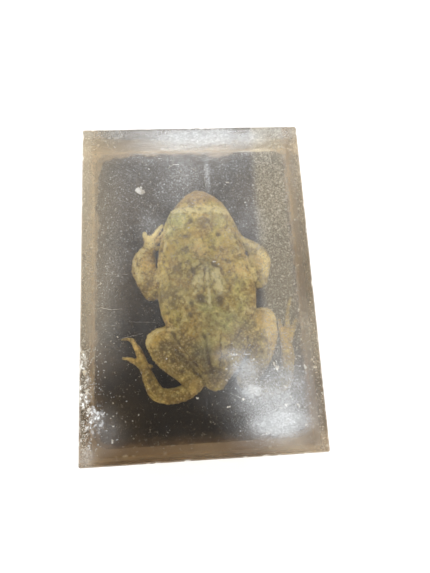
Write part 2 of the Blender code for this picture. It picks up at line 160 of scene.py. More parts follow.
# Folds and grooves as lines: points, half width, height. They go round the middle of the back,
# down its midline and over the brow and snout, along the flanks, over the hips, and then follow
# the creases beside the legs and arms.
RIDGES = [
    ([(3.3, 6.6), (1.2, 4.6), (-0.8, 2.2), (-2.65, -0.4)], 0.8, 0.45),
    ([(3.3, 6.6), (6, 4.8), (8, 2.6), (9, -0.4), (9.4, -3.2)], 0.8, 0.45),
    ([(5.6, 6.6), (8.1, 4.4), (9.6, 1.4), (10.6, -1.8)], 0.7, -0.45),
    ([(1.6, 6.8), (-1, 4.8), (-2.8, 2.2)], 0.6, -0.4),
    ([(4.2, 4.2), (4.5, 0), (5.4, -3.8)], 0.45, -0.5),
    ([(2.2, 4), (1.9, 0), (1.5, -4)], 0.4, -0.4),
    ([(3.3, 5.7), (3.1, 1.2), (3.8, -8.5), (3.4, -12)], 0.6, 0.3),
    ([(1.2, 2.8), (-1.6, -0.6)], 1.2, 0.35), ([(1.3, 0.6), (-0.6, -3.6)], 0.8, 0.3),
    ([(6, 2.8), (7.2, -3.2)], 1.5, 0.4), ([(12, -3.6), (12.6, -6.4)], 0.5, 0.3),
    ([(13.9, -4.6), (14.5, -8)], 0.5, 0.3), ([(3.4, -13), (3.4, -16), (3.6, -19.5)], 0.7, -0.15),
    ([(-6, 26.4), (-1.4, 27), (2.1, 26.6), (6.4, 27), (11, 25.8)], 0.9, 0.35),
    ([(-1.8, 28.6), (-0.6, 31), (0.2, 33.2)], 0.6, 0.25),
    ([(5.6, 28.6), (4.3, 31), (3.3, 33.2)], 0.6, 0.25),
    ([(1.8, 26.4), (1.9, 29), (1.9, 31.5)], 0.9, -0.25),
    ([(1.9, 23.4), (2.1, 19), (2.6, 13)], 0.8, -0.12),
    ([(-8.8, 20), (-10.2, 16), (-11.6, 10), (-12.4, 3), (-12, -4)], 1, 0.42),
    ([(11.8, 19.6), (13.4, 15.4), (14.8, 10), (16.4, 3), (17, -4)], 1, 0.42),
    ([(-3.4, -8.6), (-5.8, -12.8), (-6.8, -16)], 1.2, 0.35),
    ([(9.8, -8.2), (12.4, -12), (13.6, -15.6)], 1.2, 0.35),
    ([(1.2, -17.5), (1.8, -20.5), (2.2, -24.3), (3.4, -29)], 0.7, -0.8),
    ([(6.6, -18), (6.6, -22), (6, -27)], 0.6, -0.5),
    ([(-9.4, -15.5), (-6.9, -20), (-3.7, -25), (0.1, -29.5)], 0.55, -0.8),
    ([(15.9, -18.9), (15.6, -22.6), (14.2, -27.5), (11.4, -30.5)], 0.55, -0.8),
    ([(-12.2, 14.6), (-13, 9), (-12.8, 3.4), (-11.4, -0.6)], 0.5, -0.35),
    ([(15, 16), (16.8, 9.6), (17.6, 5)], 0.5, -0.18)]
FOLD_SHARE = 1.1
FOLD_STRAY = 0.55           # how far the folds stray from their lines
EYES = [(-5.9, 22.9, -1), (8.35, 22.1, 1)]    # x, y and which way is outwards
EYE_CENTRE_Z = 10.3
EYE_SIZE = (3.3, 3.9, 2.6)
# The slit and the rim of each lid: points outwards, forwards and above, half width, height
LID_LINES = [([(1, 3.3, 10), (2.7, 1.4, 10.4), (3, -0.9, 10.3), (1.6, -3, 10.2)], 0.42, -0.55),
             ([(-2.2, 2.8, 11.4), (-3.2, 0, 11.4), (-2.4, -2.8, 11.4)], 0.6, -0.4)]
NOSTRILS = [(-0.3, 31.2), (3.6, 30.7)]
EAR_DRUMS = [(-9.9, 17.3, 9.3), (13.6, 16.8, 9.3)]
MOUTH_START = 13
MOUTH_HEIGHT = 0.36
MOUTH_LINES = [(0, 0.34, -0.5), (0.9, 0.5, 0.15)]   # mouth and lip: how far up, width, height
# Warts: radius, height, how many, and whether only on the limbs
WARTS = [(0.95, 0.28, 70, False), (0.62, 0.22, 320, False), (0.4, 0.14, 900, False),
         (0.48, 0.24, 700, True)]
WART_DOME = 0.72            # the width of a wart's dome as a share of its radius
WART_REACH = 2.2            # how many radii away the dome is still worked out
WART_SIZES = (0.7, 1.25)
LOWEST_WART = -0.25         # how far down the skin may face under a wart
MEAN_ROUNDS, SURROUNDING_ROUNDS = 14, 60
RAISED_FULLY = 0.1          # the height over its surroundings that counts as fully raised

# Spots as x, y, radius, strength: dark spots, ochre patches, then grey green, brown and pinkish
# tan tints, and painted light and shade that makes parts lighter or darker
DARK_SPOTS = [
    (0.6, -5.5, 1.6, 0.85), (-2.2, -6.5, 1.1, 0.7), (6.8, -6.2, 1.9, 0.8), (-3.1, -10.6, 1.7, 0.6),
    (-1.4, 4.6, 1.4, 0.8), (13, 1.9, 1, 0.6), (8.1, 4.4, 1.2, 0.55), (15.8, -0.9, 0.8, 0.5),
    (11.8, -9.7, 1, 0.4), (15.6, -13.2, 1, 0.6), (-3, 17, 1.1, 0.75), (7.7, 17.3, 1.1, 0.75),
    (-10.4, -9.5, 1.3, 0.5), (-4.2, -1.8, 1.6, 0.55), (-10.9, 8.3, 1.2, 0.5),
    (-1.75, 22.6, 1.1, 0.8), (4.2, 22.4, 1.1, 0.8), (-14, 6.8, 1.3, 0.3), (-15.6, 2.6, 1.2, 0.3),
    (-0.3, 31.2, 0.5, 0.3), (3.6, 30.7, 0.5, 0.3), (-9.65, 17.3, 1.1, 0.4), (13.2, 16.8, 1.1, 0.4),
    (10, 7.8, 1, 0.5), (-6.6, 12, 0.9, 0.4), (2.4, 12.6, 0.8, 0.35), (-7.8, 3.6, 0.9, 0.4),
    (-9.8, -3.8, 1, 0.4), (12.6, -6, 1.1, 0.45), (9.6, -12.4, 1, 0.45), (-5.6, -14.2, 1, 0.45),
    (3.6, -14.6, 0.8, 0.4), (-12.8, -20.6, 1, 0.6), (-9.4, -24.8, 1.1, 0.7), (-6.2, -28.4, 1, 0.6),
    (21.2, -16.6, 1.2, 0.5), (20, -23.4, 1.1, 0.6), (17.6, -28.2, 1, 0.6), (-9, -36.2, 1.2, 0.55),
    (-13.6, -35.4, 1.1, 0.5), (-17.2, -31, 1, 0.6), (22.4, -35.4, 1.2, 0.7), (28.4, -31, 1.1, 0.6),
    (29.6, -25, 1, 0.5)]
OCHRE_SPOTS = [
    (-9, 12.5, 3.2, 0.8), (11.1, 14.3, 3.4, 0.85), (-15.4, -17, 3.4, 0.9), (22, -12, 4.6, 0.9),
    (-12.6, -14.4, 2.4, 0.7), (13.6, 8, 3, 0.6), (-17.6, 8, 4, 0.5), (21.8, 8.5, 4, 0.55),
    (-2.4, -33, 2.6, 0.5), (-5, 15.6, 3, 0.6), (6, 11, 3, 0.5), (-6, 5, 2.6, 0.4),
    (-20, -24, 5, 0.5), (29, -18, 5, 0.6)]
GREEN_SPOTS = [
    (-7.7, 24, 4.2, 1), (-9, 19.5, 2.6, 0.7), (2.5, -8.5, 4.2, 0.55), (5.3, -12.2, 4.8, 0.6),
    (9, -12.8, 4.8, 0.6), (14.6, -6, 4.2, 0.5), (1, -22, 3.4, 0.6), (14, -13.6, 3.6, 0.5),
    (8.6, 22.6, 3.4, 0.6)]
BROWN_SPOTS = [
    (3.2, 21.4, 3.6, 0.8), (-9, -4, 4.4, 0.7), (-4.5, -6.2, 3, 0.5), (-3.4, 4.4, 3, 0.7),
    (-10.8, -21.4, 3.4, 1), (-7.8, -27, 2.8, 1), (0.3, -24.2, 3.2, 0.9), (3.4, -29.6, 3, 0.8),
    (-7.4, -37.3, 2, 0.8), (-15.4, -33.6, 1.8, 0.7), (-17.4, -27, 1.6, 0.6),
    (-14.2, 5.4, 2.2, 0.35), (-8.8, 4, 3, 0.5), (18, -27.6, 3, 0.6), (12.8, 11.2, 2.4, 0.4),
    (15.6, -33.4, 4.5, 1), (21.5, -35.6, 4.5, 1), (26.8, -33.2, 3.5, 0.8)]
PINK_SPOTS = [
    (-16.3, -16.5, 2.8, 1), (-11.8, -13.8, 2.6, 1), (24, -12.2, 4.4, 0.9), (27.6, -20, 5, 1),
    (28.6, -26, 4, 0.7), (1.2, 11.6, 3, 0.8), (15.4, 4.4, 3.6, 0.6), (-18.6, 8.4, 3.6, 0.6),
    (23, 8.6, 3.8, 0.6), (-2.6, -33.2, 2.4, 0.7), (1.9, 31.6, 3.4, 0.6), (-14.4, 20, 3, 0.8),
    (-21.6, -20.6, 4, 0.8)]
# painted light and shade: lighter on the head and arms, darker over the hips, legs and feet
PAINTED_LIGHT_SPOTS = [
    (-6, 23, 6.5, 0.55), (8.5, 23, 6.5, 0.55), (2, 20, 6, 0.46), (2, 29, 4, 0.15),
    (22.5, -14, 6.5, 0.38), (22, 8, 6, 0.35), (-13.4, 7, 3.4, 0.85), (-14.5, 19.5, 4.5, 0.9),
    (-0.5, -23, 6.5, -0.5), (3, -30, 5, -0.35), (-3, -32.5, 3.4, -0.25), (15, -33.5, 6.5, -1),
    (22.5, -35, 6, -1), (27.8, -30.5, 4.5, -0.6), (10.5, -25, 5, -0.3), (-23.5, -20.5, 4.5, 0.45),
    (-18, 8, 5, 0.15), (14.5, 4, 5, 0.2), (-7.8, -37, 4, -0.15), (10, 13.5, 4.5, 0.2),
    (3.5, 8, 4, -0.28), (-3.5, 13.5, 4, -0.2), (2, 20, 3, 0.1), (11.5, 0.5, 4, 0.08),
    (15.5, -2.5, 3.5, 0.35), (-11, -14.6, 3, 0.05)]
# Pale skin as lines, partly its own colour and partly painted highlights along the folds, knees
# and arms: points, half width, strength
PALE_SKIN_AND_HIGHLIGHT_LINES = [
    ([(-6.8, 26.2), (-1.4, 27.2), (2.1, 26.8), (6.4, 27.2), (11, 26)], 1.5, 1),
    ([(3.3, 5.7), (3.1, 1.2), (3.8, -8.5)], 0.65, 0.8), ([(6, 2.8), (7.2, -3.2)], 1.7, 0.68),
    ([(1.2, 2.8), (-1.6, -0.6)], 1.3, 0.68), ([(1.3, 0.6), (-0.6, -3.6)], 0.9, 0.55),
    ([(3.6, 6.4), (6.6, 4.6)], 0.9, 0.4), ([(3, 6.4), (0.8, 5)], 0.9, 0.4),
    ([(12, -3.8), (12.6, -6.4)], 0.5, 0.5), ([(13.9, -4.8), (14.5, -8)], 0.5, 0.5),
    ([(-17.6, -19.4), (-16.6, -15.8), (-13, -14)], 1.3, 0.8),
    ([(-8.4, -14.6), (-12.2, -13.8)], 1.2, 0.5),
    ([(-21.6, 5), (-22, 9), (-19.6, 13.6), (-17.6, 17)], 1.6, 0.5),
    ([(24.6, 4), (25.4, 8.5), (23.4, 12.6)], 1.8, 0.5),
    ([(16.6, -9.4), (21, -8.6), (25.6, -11.6), (26.2, -16.4)], 2, 0.55),
    ([(-17, 15), (-15.6, 18), (-11.8, 22.8)], 1.6, 1), ([(-16, 16), (-17.7, 19.6)], 1.4, 1),
    ([(-14, 19), (-11.4, 20.6)], 1.2, 0.8), ([(-19.8, 3), (-20.8, 8), (-19, 13)], 1.6, 0.8),
    ([(17, 16), (21, 13), (24.4, 9), (24.2, 4)], 2, 0.7),
    ([(17.4, 14.6), (18.7, 11), (19, 6), (19.6, 1.5)], 1.4, 0.8),
    ([(-13.6, 12), (-13.8, 7), (-13.2, 2)], 1.1, 0.6)]

# The block's wear

# How scuffed the upper face is along the block, from the near end to the far end
SCUFFS_ALONG = [
    (-55, 0.06), (-44, 0.02), (-30, 0.07), (-15, 0.26), (0, 0.45), (25, 0.8), (44, 1.15),
    (50, 0.8), (55, 0.5)]
SCUFFS_RIGHT = 0.85
SCUFFS_LEFT = 0.6
# Scuffed patches: x, y, reach, amount
SCUFFS = [
    (20, -30, 12, 0.3), (-30, -46, 5, 0.6), (11, -24, 8, 0.2), (-35, -52, 4, 0.45),
    (-35, -33, 5, 0.15), (30, -15, 8, 0.6), (22, -33, 8, 0.3), (-5, 27, 8, 0.25),
    (15.5, 16, 7, 0.45), (-15.5, 19, 5, 0.3)]
# Painted glare of the lamps, laid as bright bluish haze over scuffed patches of the upper face: x,
# y, reach along x and y, amount
PAINTED_GLARE_PATCHES = [
    (23, -45.6, 9, 4.2, 1), (21, -39, 9.5, 5, 0.45), (12.6, -28.6, 4.4, 3.4, 0.72),
    (13.2, -33, 3.4, 4.6, 0.42), (14.8, -36, 3.6, 2.4, 0.85), (25.5, -33.5, 7, 5, 0.28),
    (9.5, -24.4, 5, 2.2, 0.45), (3, 51.4, 17, 3.6, 0.95), (15, 51, 12, 3.4, 0.6),
    (-4, 47.4, 7, 1.3, 0.5), (-22, 53, 14, 2.2, 0.35), (29, 52.5, 9, 2.6, 0.35),
    (4, -36, 7, 6, 0.05), (-29, -43, 3, 6, 0.08), (17, -19, 10.5, 10.5, 0.1),
    (4.8, 36.8, 0.9, 6.6, 0.42), (-3.6, 36.6, 6.6, 5.6, 0.2), (-35.6, -52, 3, 3, 0.45),
    (19.5, 18, 4.5, 8, 0.18), (-14.5, 18.5, 4.5, 5, 0.15), (-8, 31, 5, 5, 0.12)]
# Painted glints, in clusters over the broken resin at the left edge, in the same form
GLINT_CLUSTERS = [
    (-36.8, -24, 1.8, 6, 0.8), (-36.4, -33, 2.4, 6.5, 1), (-34.4, -41.5, 4.2, 5, 1),
    (-36.4, -49, 2.2, 3.5, 0.6)]
# How pale the crust under the bare strip of the base is: along the block, and in round spots
CRUST_ALONG = [(-55, 0.02), (-50, 0.04), (-34, 0.06), (-18, 0.28), (0, 0.42), (25, 0.7), (55, 1)]
CRUST_SPOTS = [
    (-36, -52, 5, 0.25), (32, -53, 9, 0.45), (0, -53, 9, 0.12), (-37, -34, 9, 0.22),
    (37, -26, 13, 0.1), (36, 8, 14, -0.12)]
# Where the crust reaches over the pad: x, y, reach, how far
TONGUES = [
    (-36.5, 53.2, 7.5, 3), (9.5, 53.4, 5, 1.6), (-20, 53.2, 8, 0.6), (24, 54, 7, -1),
    (-36.5, -52, 6, 1.6), (36.5, 40, 9, 0.8), (-36.5, 20, 14, 0.7), (36.5, -50, 7, 1.5)]
# Dusty and lighter areas of the pad round its edges, partly dust and partly painted light, which
# leave the middle under the frog dark as painted shade: x, y, reach, amount
PAD_DUST_AND_LIGHT = [
    (-30, 34, 22, 0.85), (-34, 6, 18, 0.95), (0, 46, 20, 0.6), (30, 34, 18, 1), (34, 4, 18, 1),
    (32, -30, 16, 0.8), (-34, -44, 10, 0.8), (-34, -22, 9, 0.6)]
# How clear each wall is: axis, side, share above and below the seam, and more near the near end
WALL_CLEARNESS = [
    (0, 1, 0.65, 0.15, 0), (0, -1, 0.55, 0.15, 0.4), (1, 1, 0.55, 0.05, 0), (1, -1, 0.6, 0.15, 0)]
BITES = 110                 # small bites out of the block's edges
BITE_SIZES, BITE_SPREAD = (0.3, 0.8), 1.3
BITE_DEPTHS = (0.1, 0.32)
EDGE_WEAR = 0.03
FACE_SWELL = 0.012
SEAM_TILT = (-0.035, 0.02)  # the pour seam's slope along x and y
GROOVE_DEPTH = 0.1
GROOVE_WIDTH = 0.35
# The block's grid: the width of its fine border, the step there and the step between
GRID_STEPS = (1.2, 0.2, 0.8)

# Scratches on the upper face: line points, half width
SCRATCHES = [
    ([(-8.5, 39.7), (-6.7, 41.1), (-1.8, 40.8), (1.3, 38.3)], 0.1),
    ([(-6.4, 36.6), (-4, 37.2), (-0.8, 36.8)], 0.05),
    ([(4.4, 40.6), (3.8, 35.7), (4.3, 31.3)], 0.04),
    ([(-31.3, -7.7), (-27.5, -8.5), (-24.4, -8.3)], 0.09),
    ([(-10.9, 48.2), (-5.7, 48.1), (-0.5, 47.2)], 0.1), ([(9, -24.5), (11.2, -24.6)], 0.16),
    ([(13.1, -24.4), (15.4, -24.5)], 0.14), ([(22.1, -27.3), (22.9, -28.9), (23.5, -30.2)], 0.3),
    ([(-19.4, 32.4), (-18.4, 31.8), (-17.4, 31.9)], 0.22), ([(-18.6, 30.8), (-17.2, 31)], 0.2),
    ([(-33, 4), (-28, 3.1), (-22, 2.8)], 0.03), ([(-30, -14), (-22, -12.6), (-14, -13.2)], 0.03),
    ([(-26, -18), (-18, -16.4)], 0.03), ([(8, -36), (14, -39), (19, -38)], 0.05)]
# Chips and clots of dust on the upper face: x, y, half length, half width, turn in degrees
CHIPS = [
    (-14.9, 39.6, 0.3, 0.3, 0), (-15.4, 49.1, 0.3, 0.2, 0), (5.3, 6, 0.5, 0.25, -20),
    (-1.9, -37, 0.3, 0.3, 0), (-11, -24.7, 0.25, 0.2, 0), (-26, -17.1, 0.35, 0.25, 30),
    (7.5, -28.7, 0.4, 0.35, 0), (7.3, -32.1, 0.35, 0.3, 0), (9.6, -25.7, 0.3, 0.25, 0),
    (16.2, -26.1, 0.3, 0.3, 0), (-27.3, -37, 0.2, 0.2, 0), (-27.3, -40.8, 0.2, 0.2, 0),
    (-27.3, -43.6, 0.25, 0.2, 0), (-27.6, -47.9, 0.4, 0.4, 0), (-18.4, 31.8, 1.3, 0.95, -25),
    (-17.2, 31, 0.9, 0.65, 40), (23.2, -28.9, 1.5, 0.5, -70), (10.5, -24.4, 1.2, 0.25, -12),
    (14.6, -24.6, 1, 0.2, 3), (25.3, -35, 0.6, 0.35, -35), (26.8, -38.1, 0.9, 0.25, -15),
    (29.1, -40.8, 0.8, 0.35, -55), (25.2, -40.4, 0.6, 0.4, 0), (23.7, -41.4, 0.4, 0.3, 0),
    (15.4, -35.6, 1.6, 0.5, 22), (12.2, -38, 0.7, 0.4, 10), (7.4, -40.1, 0.45, 0.3, 0),
    (35.4, -29.6, 0.6, 0.4, 20), (32.3, -29.2, 0.7, 0.4, -60), (35, -44.4, 0.5, 0.3, 20),
    (33.1, -44.9, 0.35, 0.3, 0), (31, -46.5, 0.5, 0.3, 0), (20.6, -47.2, 2.4, 0.3, 25),
    (25, -45.4, 1.8, 0.3, 35), (18.4, -48.6, 1.4, 0.25, 10), (-36.4, -21.5, 0.8, 0.5, 60),
    (-35.8, -27.5, 0.8, 0.5, 100), (-35.2, -33.5, 0.9, 0.5, 80), (-34.4, -38.5, 0.7, 0.5, 50),
    (17.2, 26.4, 0.3, 0.2, 0), (11.6, 33.9, 0.8, 0.25, -20), (-19.6, 3, 0.3, 0.2, 0)]
LINT_COUNT = 4200
GLINT_COUNT = 720
RIM_FLECK_COUNT = 190
DEEPEST_GLINT = 0.3
LARGEST_SPECK = 0.3
FLATTEST = 0.1              # the most that a speck or fibre rises above its middle
SPECK_TOP = BLOCK_HIGH[2] / MM - 0.16
HALF_X, HALF_Y = BLOCK_HIGH[0] / MM, BLOCK_HIGH[1] / MM

# Light and camera

# Softboxes over the block: x from, x to, y from, y to, turn in degrees, radiance, and how much
# of the width each of the four sides takes to fade in
SOFTBOXES = {
    "near_right": (40, 168, -118, 12, 14, 6.6, (0.4, 0.22, 0.12, 0.5)),
    "near_right_core": (74, 150, -114, -62, 8, 8, (0.45, 0.4, 0.22, 0.6)),
    "near_middle": (46, 90, -62, 22, 8, 8, (0.45, 0.45, 0.4, 0.5)),
    "far": (-112, 190, 336, 392, 0, 16, (0.22, 0.4, 0.12, 0.2)),
}
SOFTBOX_HEIGHT = 526
SOFTBOX_COLOUR = (0.93, 0.97, 1)
CAMERA_PLACE = (-0.00348, -0.03265, 0.16247)
CAMERA_RIGHT = (0.9971, -0.0542, 0.0526)
CAMERA_UP = (0.0414, 0.9747, 0.2196)
CAMERA_LENS = 27.15


# Node trees
class Nodes:
    """Short names for the nodes of one tree. All but add and put return an output socket."""

    def __init__(self, tree):
        self.tree = tree
        self.place = None

    def add(self, kind, inputs=(), **settings):
        """One node. inputs are by socket name or index: an output socket, number or colour."""
        made = self.tree.nodes.new(kind)
        for name, value in settings.items():
            setattr(made, name, value)
        for name, value in dict(inputs).items():
            self.put(made.inputs[name], value)
        return made

    def put(self, socket, value):
        if isinstance(value, bpy.types.NodeSocket):
            self.tree.links.new(value, socket)
        else:
            socket.default_value = (*value, 1) if socket.type == "RGBA" else value

    def shade(self, name, value):
        self.put(self.tree.nodes["Principled BSDF"].inputs[name], value)

    def math(self, operation, first, second=0, third=0, clamp=False):
        inputs = {0: first, 1: second, 2: third}
        return self.add("ShaderNodeMath", inputs, operation=operation, use_clamp=clamp).outputs[0]

    def times(self, first, second):
        return self.math("MULTIPLY", first, second)

    def plus(self, total, *parts):
        """total with value * share added for each (value, share) of the parts."""
        for value, share in parts:
            total = self.math("MULTIPLY_ADD", value, share, total)
        return total

    def mix(self, share, first, second, blend="MIX"):
        return self.add("ShaderNodeMix", {0: share, 6: first, 7: second}, data_type="RGBA",
                        blend_type=blend).outputs[2]

    def layers(self, colour, *over):
        """colour with each (share, tint) laid over it in turn."""
        for share, tint in over:
            colour = self.mix(share, colour, tint)
        return colour

    def ramp(self, value, low, high, start=0, end=1):
        """value mapped so that low gives start and high gives end, held beyond them."""
        return self.add("ShaderNodeMapRange", {0: value, 1: low, 2: high, 3: start, 4: end},
                        clamp=True, interpolation_type="SMOOTHSTEP").outputs[0]

    def noise(self, scale, detail=3, roughness=0.5, distortion=0, place=None):
        return self.add("ShaderNodeTexNoise", {
            "Vector": place or self.place, "Scale": scale, "Detail": detail,
            "Roughness": roughness, "Distortion": distortion}).outputs["Fac"]

    def voronoi(self, scale, feature="F1", place=None):
        return self.add("ShaderNodeTexVoronoi", {"Vector": place or self.place, "Scale": scale},
                        feature=feature).outputs["Distance"]

    def stretched(self, scale, turn=(0, 0, 0)):
        inputs = {"Vector": self.place, "Scale": scale, "Rotation": turn}
        return self.add("ShaderNodeMapping", inputs).outputs[0]

    def axis(self, name, vector):
        return self.add("ShaderNodeSeparateXYZ", {0: vector}).outputs[name]

    def bump(self, height, distance, strength=1, **under):
        return self.add("ShaderNodeBump", {"Height": height, "Distance": distance,
                                           "Strength": strength, **under}).outputs[0]

    def channels(self, name):
        """The three channels of a vertex colour attribute."""
        source = self.add("ShaderNodeAttribute", attribute_name=name)
        return self.add("ShaderNodeSeparateColor", {0: source.outputs["Color"]}).outputs


def new_material(name, uniform):
    """A node material, with the uniform values set on its Principled BSDF's own sockets."""
    made = bpy.data.materials.new(name)
    made.use_nodes = True
    nodes = Nodes(made.node_tree)
    nodes.place = nodes.add("ShaderNodeTexCoord").outputs["Object"]
    for socket, value in uniform.items():
        nodes.shade(socket, value)
    return made, nodes


# Materials

# In these functions n is the material's Nodes, and colours are red, green and blue.
RESIN_IOR = 1.5
RESIN_TINT = (0.9, 0.78, 0.44)
RESIN_DENSITY = 22
CRUST_ROUGH = (170, 5, 0.7)         # noise that makes the crust's border ragged
CRUST_RAGGED = 0.38


def crust_edge(n, border):
    """The ragged inner border of the bare strip of the base."""
    return n.plus(border, (n.noise(*CRUST_ROUGH), CRUST_RAGGED))


def resin_material():
    """Clear on its large faces, with scuffs and fine ripples, and tan and cloudy on its walls, the
    right wall darker as painted shade, with painted glare and glints on its upper face.
    """
    material, n = new_material("clear_resin_worn", {
        "IOR": RESIN_IOR, "Coat Weight": 0.1, "Coat Roughness": 0.45, "Coat IOR": RESIN_IOR})
    upright = n.axis("Z", n.add("ShaderNodeNewGeometry").outputs["Normal"])
    upward = n.ramp(upright, 0.5, 0.9)
    wall = n.ramp(n.math("ABSOLUTE", upright), 0.97, 0.6)
    border, chips, upper_pour_and_right_shade = n.channels("wear")
    scuffed, paleness, edge_band = n.channels("scuffs")
    glare, warm, wispy = n.channels("veil")
    clearness, broken = n.channels("pour")[:2]
    base_strip = n.ramp(crust_edge(n, border), 0.625, 0.672)
    cloudy = n.math("MAXIMUM", wall, base_strip)

    # pale dust and flecks of two sizes where the upper face is scuffed
    small = n.noise(1800, 2, 0.6, 0.4)
    large = n.noise(620, 3, 0.7, 2)
    flecks = n.ramp(n.plus(small, (scuffed, 0.05)), 0.56, 0.68)
    dots = n.times(n.ramp(n.voronoi(1500), 0.3, 0.1), flecks)
    haze = n.plus(0.115, (flecks, 0.1), (n.ramp(large, 0.52, 0.68), 0.07), (dots, 0.4))
    haze = n.times(haze, scuffed)

    # wisps and grains over the right rim, swirls of painted glare, painted glint clusters over the
    # broken resin, pale edges
    wisps = n.math("ABSOLUTE", n.math("SUBTRACT", n.noise(820, 2, 0.5, 1.8), 0.5))
    wisps = n.times(n.ramp(wisps, 0.045, 0.01), wispy)
    grains = n.times(n.ramp(n.noise(1300, 3, 0.75, 0.3), 0.5, 0.66), wispy)
    swirls = n.noise(700, 4, 0.66, 1.3, n.stretched((1, 1.5, 1), (0, 0, 0.35)))
    painted_glare_haze = n.plus(0.26, (n.ramp(swirls, 0.42, 0.64), 0.24))
    glint_clusters = n.noise(270, 3, 0.55, 1.2, n.stretched((1.4, 1, 1), (0, 0, 0.3)))
    glint_clusters = n.times(n.ramp(n.plus(glint_clusters, (large, 0.35)), 0.55, 0.84), broken)
    glint_clusters = n.times(glint_clusters, n.ramp(n.noise(900, 2, 0.6, 0.5), 0.46, 0.62, 0.22, 1))
    haze = n.plus(haze, (wisps, 0.1), (grains, 0.2), (warm, 0.07), (painted_glare_haze, glare),
                  (glint_clusters, 1.1), (n.times(edge_band, paleness), 0.2))
    haze = n.times(haze, upward)

    crust = n.mix(paleness, (0.2, 0.125, 0.065), (0.8, 0.71, 0.6))
    tan = n.layers((0.86, 0.69, 0.52),
                   (n.ramp(n.noise(420, 5, 0.7, 0.2), 0.34, 0.62), (0.95, 0.82, 0.66)),
                   (n.ramp(paleness, 0.45, 1, 0, 0.6), (1, 0.93, 0.83)),
                   # olive upper pour, and painted shade over the right wall
                   (n.times(upper_pour_and_right_shade, 0.7), (0.56, 0.45, 0.29)),
                   (n.ramp(paleness, 0.35, 0, 0, 0.7), (0.42, 0.27, 0.14)),
                   (n.times(base_strip, 0.9), crust))
    # the painted glare and glints tint the haze bluish white
    clear = n.layers((1, 1, 1),
                     (n.times(edge_band, 0.9), (0.97, 0.84, 0.64)),
                     (n.times(warm, 0.85), (0.95, 0.86, 0.66)),
                     (n.math("MAXIMUM", glare, glint_clusters), (0.95, 0.98, 1)))
    n.shade("Base Color", n.layers(clear, (cloudy, tan), (chips, (0.88, 0.84, 0.76))))

    through = n.math("SUBTRACT", 1, n.times(cloudy, n.ramp(clearness, 0, 1, 0.48, 0.1)))
    through = n.math("SUBTRACT", through, n.times(base_strip, 0.42))
    through = n.math("SUBTRACT", through, n.times(chips, 0.4))
    n.shade("Transmission Weight", n.math("SUBTRACT", through, haze, clamp=True))
    rough = n.plus(0.12, (cloudy, n.ramp(clearness, 0, 1, 0.28, 0)), (haze, 0.15))
    n.shade("Roughness", n.math("MULTIPLY_ADD", chips, 0.15, rough, clamp=True))

    # relief in metres: crackle, waves at the far end, swirls, scratches and grain on the upper
    # face, then long ripples everywhere and sanding marks on the walls
    crackle = n.noise(560, 3, 0.6, 1.5, n.stretched((1, 1.6, 1), (0, 0, 0.5)))
    crackle = n.times(crackle, n.ramp(n.noise(60, 2), 0.42, 0.62, 0.15, 1))
    waves = n.noise(420, 3, 0.6, 0.6, n.stretched((0.25, 2.6, 1)))
    waves = n.times(waves, n.ramp(n.axis("Y", n.place), 0.04, 0.046))
    scratch = n.noise(1, 2, place=n.stretched((1800, 70, 300), (0, 0, 0.6)))
    relief = n.plus(n.times(crackle, 18e-6), (waves, 30e-6), (n.times(swirls, glare), 16e-6),
                    (n.ramp(scratch, 0.66, 0.72), -6e-6), (small, 4e-6))
    ripple = n.noise(130, 2, place=n.stretched((1, 1.8, 1)))
    sanding = n.times(n.noise(210, 4, 0.7, 0.3, n.stretched((1, 1, 14))), wall)
    relief = n.plus(n.times(relief, upward), (ripple, 40e-6), (sanding, 9e-6))
    n.shade("Normal", n.bump(relief, 1))

    absorb = n.add("ShaderNodeVolumeAbsorption", {"Color": RESIN_TINT, "Density": RESIN_DENSITY})
    n.put(n.tree.nodes["Material Output"].inputs["Volume"], absorb.outputs[0])
    return material


